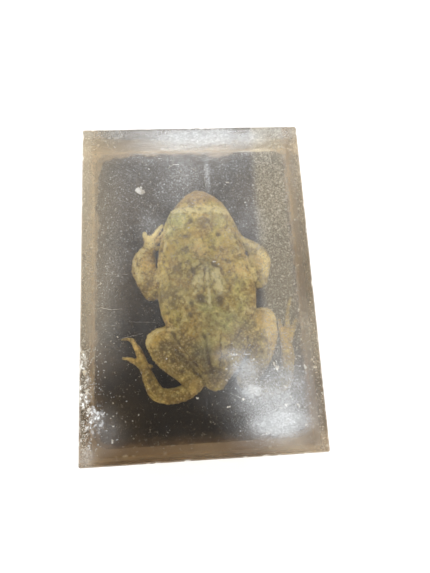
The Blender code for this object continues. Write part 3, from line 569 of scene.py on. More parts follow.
def skin_material():
    """Preserved frog skin: olive and grey-green with dark spots, pale warts and tan limbs, with
    painted light and shade.
    """
    material, n = new_material("frog_skin_preserved", {
        "Specular IOR Level": 0.2, "Sheen Weight": 0.3, "Sheen Roughness": 0.35,
        "Sheen Tint": (1, 0.93, 0.78)})
    dark, pale, ochre = n.channels("marks_and_shading")
    raised, hollow, wart = n.channels("relief")
    limb, snout, belly = n.channels("regions")
    green, brown, pink = n.channels("tints")
    painted_lightness = n.channels("light")[0]

    broad = n.noise(150, 3, 0.55, 0.6)
    shifted = n.stretched((1, 1, 1), (0.4, 0.9, 1.3))
    patches = n.noise(340, 5, 0.7, 0.25, shifted)
    medium = n.noise(1000, 4, 0.65, 0.2)
    limb_tan = n.mix(n.ramp(broad, 0.35, 0.65), (0.245, 0.17, 0.06), (0.385, 0.3, 0.125))
    colour = n.layers((0.46, 0.325, 0.105),
                      (n.ramp(broad, 0.38, 0.62), (0.5, 0.435, 0.155)),
                      (n.times(limb, 0.6), limb_tan))
    for amount, share, tint in ((green, 0.6, (0.42, 0.445, 0.235)),
                                (brown, 0.75, (0.175, 0.12, 0.048)),
                                (pink, 0.7, (0.8, 0.59, 0.32))):
        uneven = n.ramp(n.plus(amount, (patches, 0.9)), 0.55, 1.15, 0, share)
        colour = n.mix(uneven, colour, tint)

    # dark and pale mottling of several sizes, calmer on the green and where the painted light is
    # brightest
    calm = n.times(n.plus(1, (green, -0.6)), n.ramp(painted_lightness, 0.6, 0.8, 1, 0.6))
    pits = n.times(n.ramp(n.voronoi(640), 0.36, 0.12), n.ramp(patches, 0.53, 0.43))
    dots = n.times(n.ramp(n.voronoi(880, place=shifted), 0.34, 0.12),
                   n.ramp(patches, 0.45, 0.55))
    cells = n.voronoi(1150)
    on_limb = n.ramp(limb, 0.15, 0.4)
    torn = n.ramp(n.plus(ochre, (patches, 0.9)), 0.65, 1.25)
    # pale lines and dark spots, which carry painted highlights along the folds and painted shade
    # in the grooves
    pale = n.times(pale, n.ramp(patches, 0.38, 0.58, 0.55, 1.15))
    lit = n.ramp(n.plus(pale, (medium, 1)), 0.65, 1.25)
    tip = n.ramp(n.times(wart, medium), 0.25, 0.6)
    shade = n.ramp(n.plus(dark, (medium, 0.8)), 0.6, 1.15)
    colour = n.layers(
        colour,
        (n.times(n.ramp(patches, 0.5, 0.41, 0, 0.72), calm), (0.19, 0.14, 0.055)),
        (n.ramp(patches, 0.52, 0.6, 0, 0.62), (0.72, 0.62, 0.3)),
        (n.times(n.times(pits, calm), 0.62), (0.105, 0.075, 0.032)),
        (n.times(dots, 0.6), (0.8, 0.71, 0.42)),
        (n.ramp(medium, 0.47, 0.36, 0, 0.5), (0.15, 0.11, 0.045)),
        (n.ramp(medium, 0.55, 0.66, 0, 0.5), (0.62, 0.57, 0.36)),
        (n.times(n.ramp(cells, 0.42, 0.62, 0, 0.42), on_limb), (0.17, 0.115, 0.05)),
        (n.times(n.ramp(cells, 0.32, 0.12, 0, 0.6), on_limb), (0.8, 0.63, 0.42)),
        (n.times(snout, 0.7), (0.5, 0.36, 0.23)),
        (n.times(belly, 0.8), (0.6, 0.5, 0.33)),
        (n.times(torn, 0.65), (0.56, 0.4, 0.09)),
        (n.times(lit, 0.8), (0.8, 0.74, 0.52)),
        (n.times(tip, 0.5), (0.54, 0.49, 0.31)),
        (n.times(shade, 0.8), (0.085, 0.055, 0.022)),
        # painted shade in the hollows and painted highlights on the raised skin
        (n.ramp(hollow, 0.2, 1, 0, 0.38), (0.105, 0.072, 0.03)),
        (n.ramp(raised, 0.2, 1, 0, 0.3), (0.55, 0.5, 0.32)))
    yellowed = n.mix(n.times(green, 0.8), (0.96, 0.945, 0.74), (0.93, 0.99, 0.86))
    # painted light and shade multiplied over the colour
    light = n.add("ShaderNodeMapRange", {0: painted_lightness, 3: 0.35, 4: 1.75}).outputs[0]
    for tint in (yellowed, light):
        colour = n.mix(1, colour, tint, "MULTIPLY")
    n.shade("Base Color", colour)
    pebbles = n.bump(n.voronoi(2100, "SMOOTH_F1"), 0.0001, 0.6)
    n.shade("Normal", n.bump(n.noise(2600, 3, 0.6), 0.00009, 0.6, Normal=pebbles))
    n.shade("Roughness", n.ramp(medium, 0.3, 0.7, 0.45, 0.65))
    return material


def felt_material():
    """Dark pressed felt, browned and faded along its border, with lint on it and lighter areas of
    dust and painted light.
    """
    material, n = new_material("dark_felt_lint", {
        "Roughness": 0.92, "Sheen Weight": 0.15, "Specular IOR Level": 0.15})
    border, dust_and_light, paleness = n.channels("border")
    fibre = n.noise(2600, 4, 0.7, 2.2)
    faded = n.ramp(n.plus(border, (n.noise(260, 4, 0.7, 0.8), 0.3)), 0.36, 0.66)
    lint = n.times(n.ramp(n.noise(950, 2, 0.5, 3.5), 0.655, 0.7),
                   n.ramp(n.noise(130, 2), 0.35, 0.6))
    crust = n.layers((0.16, 0.105, 0.055), (paleness, (0.62, 0.53, 0.43)),
                     (n.ramp(fibre, 0.4, 0.62, 0, 0.35), (0.24, 0.175, 0.11)))
    n.shade("Base Color", n.layers(
        (0.014, 0.01, 0.007),
        (n.ramp(n.noise(55, 4, 0.6), 0.35, 0.65), (0.034, 0.026, 0.019)),
        (n.ramp(fibre, 0.55, 0.75, 0, 0.5), (0.1, 0.08, 0.06)),
        (n.times(faded, 0.75), (0.15, 0.105, 0.065)),
        # dust and painted light round the edges
        (n.times(dust_and_light, n.ramp(fibre, 0.3, 0.62, 0.35, 1)), (0.165, 0.13, 0.095)),
        (n.times(lint, 0.6), (0.42, 0.36, 0.28)),
        (n.ramp(crust_edge(n, border), 0.635, 0.675), crust)))
    n.shade("Normal", n.bump(fibre, 0.00025, 0.8))
    return material


def mottled_material(name, scale, dark, light, uniform):
    """Noise of the given scale between two tones."""
    material, n = new_material(name, uniform)
    n.shade("Base Color", n.mix(n.ramp(n.noise(scale, 2), 0.35, 0.65), dark, light))
    return material


def floor_material():
    material, n = new_material("pale_floor", {
        "Roughness": 0.9, "Specular IOR Level": 0.1, "Emission Color": (1, 1, 1),
        "Emission Strength": 0.25})
    n.shade("Base Color", n.mix(n.noise(3, 2), (0.93, 0.93, 0.93), (0.95, 0.95, 0.95)))
    return material


# Form building
SCRATCH = bpy.data.collections.new("scratch_forms")
bpy.context.scene.collection.children.link(SCRATCH)


def add_object(name, data, collection=bpy.context.scene.collection):
    made = bpy.data.objects.new(name, data)
    collection.objects.link(made)
    return made


def mesh_from(name, bm):
    mesh = bpy.data.meshes.new(name)
    bm.to_mesh(mesh)
    bm.free()
    return mesh


def shown_mesh(obj):
    """A copy of the object's mesh as its modifiers leave it."""
    graph = bpy.context.evaluated_depsgraph_get()
    return bpy.data.meshes.new_from_object(obj.evaluated_get(graph))


def bridge(bm, under, over):
    """Quads between two rings of vertices."""
    for i, vertex in enumerate(under):
        after = (i + 1) % len(under)
        bm.faces.new((vertex, under[after], over[after], over[i]))


def ring_points(y, centre_x, half_width, low, high):
    """One body section as a closed ring, squarer than an ellipse and flatter underneath."""
    middle = low + (high - low) * SECTION_MIDDLE
    points = []
    for i in range(SECTION_POINTS):
        turn = 2 * math.pi * i / SECTION_POINTS
        across = math.copysign(abs(math.cos(turn)) ** SECTION_SQUARENESS, math.cos(turn))
        reach = high - middle if math.sin(turn) > 0 else low - middle
        points.append((centre_x + half_width * across, y,
                       middle + reach * abs(math.sin(turn)) ** SECTION_SQUARENESS))
    return points


def body_form():
    bm = bmesh.new()
    rings = [[bm.verts.new(p) for p in ring_points(*section)] for section in BODY_SECTIONS]
    for near, far in zip(rings, rings[1:]):
        bridge(bm, near, far)
    bm.faces.new(rings[0])
    bm.faces.new(rings[-1])
    bmesh.ops.recalc_face_normals(bm, faces=bm.faces)
    body = add_object("body_form", mesh_from("body_form", bm), SCRATCH)
    rounding = body.modifiers.new("rounding", "SUBSURF")
    rounding.levels = rounding.render_levels = 3
    return body


def bulge_form(x, y, z, half_x, half_y, half_z):
    bm = bmesh.new()
    bmesh.ops.create_uvsphere(bm, u_segments=28, v_segments=18, radius=1)
    bmesh.ops.scale(bm, vec=(half_x, half_y, half_z), verts=bm.verts)
    bmesh.ops.translate(bm, vec=(x, y, z), verts=bm.verts)
    return add_object("bulge_form", mesh_from("bulge_form", bm), SCRATCH)


def limb_form(points):
    """A limb, finger or toe: a smooth curve whose bevel follows the radii, with round ends."""
    curve = bpy.data.curves.new("limb_form", "CURVE")
    curve.dimensions = "3D"
    curve.bevel_depth = 1
    curve.bevel_resolution = 5
    curve.resolution_u = 12
    curve.use_fill_caps = True
    spline = curve.splines.new("BEZIER")
    spline.radius_interpolation = "CARDINAL"
    spline.bezier_points.add(len(points) - 1)
    for point, (x, y, z, radius) in zip(spline.bezier_points, points):
        point.co = (x, y, z)
        point.radius = radius
        point.handle_left_type = point.handle_right_type = "AUTO"
    ends = [bulge_form(x, y, z, r, r, r) for x, y, z, r in (points[0], points[-1])]
    return [add_object("limb_form", curve, SCRATCH)] + ends


def web_form(corners):
    bm = bmesh.new()
    bm.faces.new([bm.verts.new(corner) for corner in corners])
    web = add_object("web_form", mesh_from("web_form", bm), SCRATCH)
    skin = web.modifiers.new("thickness", "SOLIDIFY")
    skin.thickness = WEB_THICKNESS
    skin.offset = 0
    return web


def fused_frog():
    """The mesh of all the frog's forms as one closed skin, in millimetres above its belly."""
    forms = [body_form()] + [bulge_form(*bulge) for bulge in BULGES]
    for points in LIMBS.values():
        forms += limb_form(points)
    forms += [web_form(corners) for corners in WEBS]
    bpy.context.view_layer.update()
    bm = bmesh.new()
    for form in forms:
        mesh = shown_mesh(form)
        bm.from_mesh(mesh)
        bpy.data.meshes.remove(mesh)
    bmesh.ops.remove_doubles(bm, verts=bm.verts, dist=1e-4)
    joined = add_object("joined_forms", mesh_from("joined_forms", bm), SCRATCH)
    skin = joined.modifiers.new("fuse", "REMESH")
    skin.mode = "VOXEL"
    skin.voxel_size = FROG_GRID
    soft = joined.modifiers.new("soften", "SMOOTH")
    soft.factor = 0.5
    soft.iterations = 8
    bpy.context.view_layer.update()
    mesh = shown_mesh(joined)
    for form in list(SCRATCH.objects):
        bpy.data.objects.remove(form, do_unlink=True)
    bpy.data.collections.remove(SCRATCH)
    return mesh


# Sculpting with numpy
def values_of(items, name, width, kind=float):
    flat = np.empty(len(items) * width, dtype=kind)
    items.foreach_get(name, flat)
    return flat.reshape(-1, width)


def neighbour_mean(values, edges, rounds):
    """values averaged with those of the neighbouring vertices, again and again."""
    count = len(values)
    valence = np.maximum(np.bincount(edges.ravel(), minlength=count), 1)
    for _ in range(rounds):
        total = np.bincount(edges[:, 0], weights=values[edges[:, 1]], minlength=count)
        total += np.bincount(edges[:, 1], weights=values[edges[:, 0]], minlength=count)
        values = 0.5 * values + 0.5 * total / valence
    return values


def bell(distance, width):
    return np.exp(-(distance / width) ** 2)


def smooth_step(values, low, high):
    share = np.clip((values - low) / (high - low), 0, 1)
    return share * share * (3 - 2 * share)


def plan_gap(points, x, y):
    """Each point's distance from a place, seen from above."""
    return np.linalg.norm(points[:, :2] - np.array([x, y]), axis=1)


def line_parts(points, line):
    """For each part of a line: each point's distance from it, and how far along it that is."""
    for start, end in zip(line, line[1:]):
        along = end - start
        share = np.clip((points - start) @ along / (along @ along), 0, 1)
        gap = points - start - share[:, None] * along
        yield np.sqrt((gap * gap).sum(axis=1)), share


def line_distance(points, line):
    """Each point's distance from a line through the given corners, in as many axes as it has."""
    line = np.array(line, dtype=float)
    return np.min([gap for gap, _ in line_parts(points[:, :line.shape[1]], line)], axis=0)


def limb_nearness(points, names):
    """1 inside the named limbs, fading to 0 a little beyond their skin."""
    near = np.zeros(len(points))
    for name in names:
        limb = np.array(LIMBS[name], dtype=float)
        radii = limb[:, 3]
        parts = line_parts(points, limb[:, :3])
        for (gap, share), radius, after in zip(parts, radii, radii[1:]):
            reach = gap / (radius + share * (after - radius))
            near = np.maximum(near, 1 - smooth_step(reach, LIMB_MARGIN - 0.15, LIMB_MARGIN + 0.1))
    return near


def wave_field(points, scale, seed, octaves=4):
    """A smooth random field made of sine waves in random directions, about -1 to 1."""
    draw = np.random.default_rng(seed)
    total = np.zeros(len(points))
    weight = 0
    for octave in range(octaves):
        size = 2 ** octave / scale
        part = np.zeros(len(points))
        for _ in range(5):
            direction = draw.normal(size=3)
            direction /= np.linalg.norm(direction)
            phase = draw.uniform(0, 2 * math.pi)
            part += np.sin(points @ direction * size * 2 * math.pi + phase)
        total += part / 5 * 0.6 ** octave
        weight += 0.6 ** octave
    return total / weight * 2


def deepest(points, spots, spread=1):
    """How deep each point lies in the deepest of the round spots, seen from above."""
    share = np.zeros(len(points))
    for x, y, radius, strength in spots:
        share = np.maximum(share, strength * bell(plan_gap(points, x, y), radius * spread))
    return share


def summed(points, spots):
    """The round spots' amounts added up at each point, seen from above."""
    return sum(amount * bell(plan_gap(points, x, y), reach) for x, y, reach, amount in spots)


def set_colours(mesh, name, *channels):
    """Keeps three shares from 0 to 1 as the channels of a vertex colour attribute."""
    layer = mesh.color_attributes.new(name=name, type="FLOAT_COLOR", domain="POINT")
    values = np.ones((len(mesh.vertices), 4))
    for column, channel in enumerate(channels):
        values[:, column] = np.clip(channel, 0, 1)
    layer.data.foreach_set("color", values.ravel())


def scattered_warts(points, facing, on_limb):
    """Warts of several sizes over the back and limbs: their summed shape, 0 to 1, and height."""
    draw = np.random.default_rng(SEED)
    shape = np.zeros(len(points))
    height = np.zeros(len(points))
    placed = []
    for radius, tall, count, limbs_only in WARTS:
        among = np.nonzero(on_limb > 0.5)[0] if limbs_only else np.arange(len(points))
        kept = 0
        for index in among[draw.integers(0, len(among), size=count * 3)]:
            centre = points[index]
            if kept >= count:
                break
            if facing[index] < LOWEST_WART or any(np.linalg.norm(centre - c) < radius + r
                                                  for c, r in placed):
                continue
            placed.append((centre, radius))
            kept += 1
            near = np.abs(points[:, :2] - centre[:2]) < radius * WART_REACH
            where = np.nonzero(near.all(axis=1))[0]
            dome = bell(np.linalg.norm(points[where] - centre, axis=1), radius * WART_DOME)
            shape[where] = np.maximum(shape[where], dome)
            height[where] = np.maximum(height[where], dome * tall * draw.uniform(*WART_SIZES))
    return shape, height


def sculpt_frog(mesh):
    """Warts, folds, eyelids, mouth and wrinkles, and the attributes that colour the skin, painted
    light and shade among them.
    """
    edges = values_of(mesh.edges, "vertices", 2, np.int64)
    points = values_of(mesh.vertices, "co", 3)
    normals = values_of(mesh.vertices, "normal", 3)
    up = np.clip(normals[:, 2], 0, 1)
    shift = np.zeros(len(points))

    # folds of the back, only where the skin looks up, strayed from their straight lines
    stray = [wave_field(points, 5, SEED + 30 + axis, 3) for axis in range(3)]
    strayed = points + FOLD_STRAY * np.stack(stray, axis=1)
    broken = 0.75 + 0.45 * wave_field(points, 4, SEED + 33, 2)
    for line, width, height in RIDGES:
        fold = bell(line_distance(strayed, line), width) * smooth_step(up, 0.15, 0.6)
        shift += FOLD_SHARE * height * fold * broken

    # lids: a dome for each eye, a slit on its outer side and a rim round it
    for x, y, outward in EYES:
        centre = np.array([x, y, EYE_CENTRE_Z])
        shift += 0.35 * bell(np.linalg.norm((points - centre) / EYE_SIZE, axis=1), 0.75)
        for line, width, height in LID_LINES:
            line = [(x + outward * out, y + ahead, z) for out, ahead, z in line]
            shift += height * bell(line_distance(points, line), width)

    # mouth line round the snout with a lip above it, nostrils and ear drums
    middles = np.interp(points[:, 1], [s[0] for s in BODY_SECTIONS],
                        [s[3] + (s[4] - s[3]) * MOUTH_HEIGHT for s in BODY_SECTIONS])
    face = smooth_step(points[:, 1], MOUTH_START, MOUTH_START + 3)
    face *= (1 - limb_nearness(points, ARMS)) * (1 - up)
    for above, width, height in MOUTH_LINES:
        shift += height * bell(points[:, 2] - middles - above, width) * face
    for x, y in NOSTRILS:
        gap = plan_gap(points, x, y)
        shift += (0.22 * bell(gap - 0.75, 0.32) - 0.3 * bell(gap, 0.4)) * (up > 0.1)
    for centre in EAR_DRUMS:
        gap = np.linalg.norm(points - np.array(centre), axis=1)
        shift += 0.22 * bell(gap - 1.5, 0.35) - 0.2 * bell(gap, 1)

    # warts, then a broad unevenness and finer wrinkles
    digits = [n for n in LIMBS if "finger" in n or "toe" in n or "thumb" in n]
    smoothness = 1 - 0.6 * limb_nearness(points, digits)
    on_limb = limb_nearness(points, [n for n in LIMBS if n not in digits])
    wart, wart_height = scattered_warts(points, normals[:, 2], on_limb)
    shift += wart_height * smoothness
    shift += 0.16 * wave_field(points, 7, SEED + 1, 3)
    shift += 0.07 * wave_field(points, 2.2, SEED + 2, 3) * smoothness
    points = points + normals * shift[:, None]
    mesh.vertices.foreach_set("co", points.ravel())
    mesh.update()

    # curvature: which places are raised and which are hollow, for painted highlights on the raised
    # skin and painted shade in the hollows
    normals = values_of(mesh.vertices, "normal", 3)
    facing = normals[:, 2]
    mean = np.stack([neighbour_mean(points[:, axis], edges, MEAN_ROUNDS) for axis in range(3)],
                    axis=1)
    height = ((points - mean) * normals).sum(axis=1)
    height -= neighbour_mean(height, edges, SURROUNDING_ROUNDS)
    set_colours(mesh, "relief", height / RAISED_FULLY, -height / RAISED_FULLY, wart)

    dark = deepest(strayed, DARK_SPOTS, 1.1) * smooth_step(facing, -0.2, 0.3)
    pale = np.zeros(len(points))
    for line, width, strength in PALE_SKIN_AND_HIGHLIGHT_LINES:
        pale = np.maximum(pale, strength * bell(line_distance(strayed, line), width))
    # painted highlights along the raised folds and painted shade in the grooves, over the shape
    # the folds already have
    for line, width, height in RIDGES:
        fold = bell(line_distance(strayed, line), width) * broken
        if height > 0:
            pale = np.maximum(pale, 1.2 * min(height, 0.45) * fold)
        else:
            dark = np.maximum(dark, 1.1 * min(-height, 0.5) * fold)
    pale *= smooth_step(facing, 0, 0.4)
    set_colours(mesh, "marks_and_shading", dark, pale, deepest(points, OCHRE_SPOTS))
    set_colours(mesh, "tints", *(deepest(strayed, spots, 1.15)
                                 for spots in (GREEN_SPOTS, BROWN_SPOTS, PINK_SPOTS)))
    limb = np.maximum(0.4 * limb_nearness(points, ARMS), limb_nearness(points, LEGS))
    snout = smooth_step(points[:, 1] + 1.2 * wave_field(points, 6, SEED + 3, 2), 28.5, 32)
    set_colours(mesh, "regions", limb, snout, smooth_step(-facing, -0.42, 0.5))
    # painted light and shade, 0.5 where there is none
    set_colours(mesh, "light", *[0.5 + 0.5 * summed(strayed, PAINTED_LIGHT_SPOTS)] * 3)


def make_frog():
    mesh = fused_frog()
    sculpt_frog(mesh)
    mesh.transform(Matrix.Translation((0, 0, FROG_BASE)) @ Matrix.Scale(MM, 4))
    mesh.materials.append(skin_material())
    mesh.shade_smooth()
    frog = add_object("frog_specimen", mesh)
    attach(frog, "root")
    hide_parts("frog")


# Resin block
def spaced(low, high, near_edge, fine, coarse):
    """Positions from low to high: fine steps near both ends, coarse ones between."""
    edge = np.arange(0, near_edge, fine)
    count = max(2, round((high - low - 2 * near_edge) / coarse) + 1)
    inner = np.linspace(low + near_edge, high - near_edge, count)
    return np.concatenate([low + edge, inner, (high - edge)[::-1]])


def block_grid(size):
    """A closed box of quads whose grid is finer near its edges. Sizes in millimetres."""
    steps = [spaced(-s / 2, s / 2, *GRID_STEPS) for s in size]
    index = {}
    faces = []
    for axis in range(3):
        first, second = (axis + 1) % 3, (axis + 2) % 3
        for side, fixed in ((0, 0), (1, len(steps[axis]) - 1)):
            for i in range(len(steps[first]) - 1):
                for j in range(len(steps[second]) - 1):
                    ring = []
                    for a, b in ((i, j), (i + 1, j), (i + 1, j + 1), (i, j + 1)):
                        key = [0, 0, 0]
                        key[axis], key[first], key[second] = fixed, a, b
                        ring.append(index.setdefault(tuple(key), len(index)))
                    faces.append(ring if side else ring[::-1])
    return np.array([[step[k] for step, k in zip(steps, key)] for key in index]), faces


def crust_paleness(places):
    paleness = np.interp(places[:, 1], *zip(*CRUST_ALONG)) + summed(places, CRUST_SPOTS)
    return paleness * (1 + 0.35 * wave_field(places, 7, SEED + 15, 4))


def patch_share(places, patches, inner, outer):
    """How deep each point lies in the deepest of the oval patches, which fade outwards."""
    share = np.zeros(len(places))
    for x, y, reach_x, reach_y, amount in patches:
        gap = np.hypot((places[:, 0] - x) / reach_x, (places[:, 1] - y) / reach_y)
        share = np.maximum(share, amount * (1 - smooth_step(gap, inner, outer)))
    return share


def border_share(places):
    """How far outside the pad's rounded outline each point is, 0.5 on it, less at the tongues."""
    centre_y = (PAD_LOW[1] + PAD_HIGH[1]) / 2 / MM
    pad_half = np.array([(PAD_HIGH[i] - PAD_LOW[i]) / 2 / MM for i in range(2)])
    corner = PAD_CORNER / MM
    beyond = np.abs(places[:, :2] - np.array([0, centre_y])) - pad_half + corner
    outside = np.where(beyond.max(axis=1) > 0, np.linalg.norm(np.maximum(beyond, 0), axis=1),
                       beyond.max(axis=1)) - corner
    return 0.5 + (outside + summed(places, TONGUES)) / BORDER_SPAN


def worn_edges(places, half, edge_share):
    """Small bites along the block's edges: how deep each point is worn, and how chipped."""
    draw = np.random.default_rng(SEED + 10)
    wear = EDGE_WEAR * (1 + wave_field(places, 9, SEED + 11, 3)) * edge_share
    chips = np.zeros(len(places))
    block_edges = [(axis, a, b) for axis in range(3) for a in (-1, 1) for b in (-1, 1)]
    for _ in range(BITES):
        axis, a, b = block_edges[draw.integers(0, len(block_edges))]
        first, second = (axis + 1) % 3, (axis + 2) % 3
        spot = np.zeros(3)
        spot[axis] = draw.uniform(-half[axis], half[axis])
        spot[first], spot[second] = a * half[first], b * half[second]
        reach = draw.uniform(*BITE_SIZES) * BITE_SPREAD
        bite = np.clip(1 - np.linalg.norm(places - spot, axis=1) / reach, 0, 1)
        wear = np.maximum(wear, bite * draw.uniform(*BITE_DEPTHS))
        chips = np.maximum(chips, smooth_step(bite, 0.05, 0.5) * draw.uniform(0.3, 1))
    return wear, chips


def make_block():
    size = np.array([(BLOCK_HIGH[i] - BLOCK_LOW[i]) / MM for i in range(3)])
    places, faces = block_grid(size)
    half = size / 2
    radius = EDGE_RADIUS / MM

    # rounded and worn edges, and faces that swell a little
    inner = np.clip(places, -(half - radius), half - radius)
    out = places - inner
    normal = out / np.maximum(np.linalg.norm(out, axis=1), 1e-9)[:, None]
    edge_share = smooth_step((np.abs(out) > 1e-6).sum(axis=1), 1, 2)
    wear, chips = worn_edges(places, half, edge_share)
    swell = FACE_SWELL * (1 + wave_field(places, 34, SEED + 12, 2)) * (normal[:, 2] > -0.9)
    places = inner + normal * (radius - np.maximum(wear + swell, 0))[:, None]

    # the pour seam: a shallow groove round the walls, tilted as the first pour set
    seam = (SEAM_Z - (BLOCK_LOW[2] + BLOCK_HIGH[2]) / 2) / MM
    tilt = seam + SEAM_TILT[0] * places[:, 0] + SEAM_TILT[1] * places[:, 1]
    wall = 1 - smooth_step(np.abs(normal[:, 2]), 0.3, 0.8)
    uneven = 0.25 * wave_field(places, 14, SEED + 13, 2)
    groove = bell(places[:, 2] - tilt + uneven, GROOVE_WIDTH)
    places -= normal * (GROOVE_DEPTH * groove * wall)[:, None]
    x, y = places[:, 0], places[:, 1]
    above_tilt = places[:, 2] - tilt
    # olive tint: the upper pour, most on the far wall, and the whole right wall darker as painted
    # shade
    upper_pour_and_right_shade = smooth_step(above_tilt, -1.6, 1)
    upper_pour_and_right_shade *= 0.4 + 0.6 * smooth_step(normal[:, 1], 0.4, 0.9)
    upper_pour_and_right_shade = np.maximum(upper_pour_and_right_shade, 0.6 * smooth_step(normal[:, 0], 0.4, 0.9))

    # the upper pour is the clearer one, and the near half of the left wall is clear throughout
    above_seam = 0.5 * (smooth_step(above_tilt, -0.4, 0.4) + smooth_step(above_tilt, -4.5, 2))
    near_half = smooth_step(-y, 4, 22)
    clearness = np.zeros(len(places))
    for axis, side, above, below, nearer in WALL_CLEARNESS:
        here = below + (above - below) * above_seam + nearer * near_half
        clearness = np.maximum(clearness, here * smooth_step(side * normal[:, axis], 0.4, 0.9))
    clearness *= 1 + 0.25 * wave_field(places, 12, SEED + 17, 3)

    # scuffs of the upper face, heavy at the far end and the right side, light at lower middle
    right_edge = 1 - 0.7 * (smooth_step(x, 30, 33.5) * smooth_step(y, -26, -2))
    near_end = smooth_step(-y, 22, 38)
    warm = (1 - near_end) * smooth_step(x, 19, 22.5) + near_end * smooth_step(x, 2, 28)
    left = smooth_step(-x, 20, 33) * smooth_step(y, -38, -12)
    scuffs = (np.interp(y, *zip(*SCUFFS_ALONG)) + SCUFFS_RIGHT * warm + SCUFFS_LEFT * left
              + summed(places, SCUFFS))
    scuffs *= (1 + 0.3 * wave_field(places, 16, SEED + 14, 4)) * right_edge
    warm = warm * smooth_step(y, -37, -14)
    wispy = warm * (0.25 + 0.75 * smooth_step(y, 2, 24)) * (0.5 + 0.5 * right_edge)
    warm = np.maximum(warm * right_edge, 0.8 * left)
    from_edge = np.minimum(half[0] - np.abs(x), half[1] + y)
    edge_band = 1 - smooth_step(from_edge, 1, 4.5)
    # painted glare of the lamps on the upper face
    painted_glare_haze = patch_share(places, PAINTED_GLARE_PATCHES, 0.4, 1.45) * (1 + 0.25 * wave_field(places, 9, SEED + 16))
    # painted glints in clusters along the broken left edge
    broken = patch_share(places, GLINT_CLUSTERS, 0.55, 1.25)

    mesh = bpy.data.meshes.new("resin_block")
    mesh.from_pydata([tuple(p) for p in places * MM], [], faces)
    mesh.update()
    # the border is that of the strip of underside that the pad leaves bare
    set_colours(mesh, "wear", border_share(places) * (normal[:, 2] < -0.5), chips, upper_pour_and_right_shade)
    set_colours(mesh, "scuffs", scuffs, crust_paleness(places), edge_band)
    set_colours(mesh, "veil", painted_glare_haze, warm, wispy)
    set_colours(mesh, "pour", clearness, broken, broken)
    mesh.transform(Matrix.Translation((BLOCK_LOW + BLOCK_HIGH) / 2))
    mesh.materials.append(resin_material())
    mesh.shade_smooth()
    block = add_object("resin_block", mesh)
    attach(block, "root")
    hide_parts("block_lower", "block_upper")


# Felt pad
def subdivided(start, end, step, least):
    """Points from start towards end, about a step apart, without the end itself."""
    count = max(least, round(math.dist(start, end) / step))
    return [[s + (e - s) * (k / count) for s, e in zip(start, end)] for k in range(count)]


def make_pad():
    """The felt under the block: a closed slab with an uneven, slightly frayed outline."""
    half_x, half_y = ((PAD_HIGH[i] - PAD_LOW[i]) / 2 for i in range(2))
    centre = [(PAD_LOW[i] + PAD_HIGH[i]) / 2 for i in range(2)]
    low, high = PAD_LOW[2], BLOCK_LOW[2] + PAD_LAP
    outline = []
    for side_x, side_y, first in ((-1, -1, 180), (1, -1, 270), (1, 1, 0), (-1, 1, 90)):
        for step in range(CORNER_PARTS + 1):
            turn = math.radians(first + 90 * step / CORNER_PARTS)
            outline.append((side_x * (half_x - PAD_CORNER) + PAD_CORNER * math.cos(turn),
                            side_y * (half_y - PAD_CORNER) + PAD_CORNER * math.sin(turn)))
    ring = []
    for start, end in zip(outline, outline[1:] + outline[:1]):
        ring += subdivided(start, end, PAD_STEP, 1)
    ring = np.array(ring)
    direction = ring / np.linalg.norm(ring, axis=1)[:, None]
    flat = np.column_stack([ring / MM, np.zeros(len(ring))])
    fray = PAD_FRAY * (1 + wave_field(flat, 6, SEED + 20, 4)) * MM
    bm = bmesh.new()

    def new_ring(places, z):
        return [bm.verts.new((x + centre[0], y + centre[1], z)) for x, y in places]

    levels = []
    for z, inset in ((low, 0.25), (low + 0.15 * MM, 0), (high - 0.15 * MM, 0), (high, 0.2)):
        levels.append(new_ring(ring - direction * (fray[:, None] + inset * MM), z))
    for under, over in zip(levels, levels[1:]):
        bridge(bm, under, over)
    # rows towards the middle, so that the border's fading has vertices to lie on
    for outer, z in ((levels[0], low), (levels[-1], high)):
        edge = np.array([v.co[:2] for v in outer]) - np.array(centre)
        for share in PAD_RINGS:
            row = new_ring(edge * share, z)
            bridge(bm, outer, row)
            outer = row
        bm.faces.new(outer)
    bmesh.ops.triangulate(bm, faces=[f for f in bm.faces if len(f.verts) > 4])
    bmesh.ops.recalc_face_normals(bm, faces=bm.faces)
    pad = add_object("felt_base", mesh_from("felt_base", bm))
    points = values_of(pad.data.vertices, "co", 3)
    border = border_share(points / MM)
    border *= 0.6 + 0.4 * smooth_step(points[:, 2], high - 0.1 * MM, high)
    # dust and painted light round the pad's edges
    dust_and_light = np.maximum(0.06, deepest(points / MM, PAD_DUST_AND_LIGHT))
    set_colours(pad.data, "border", border, dust_and_light, crust_paleness(points / MM))
    pad.data.materials.append(felt_material())
    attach(pad, "root")
    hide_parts("felt_pad")


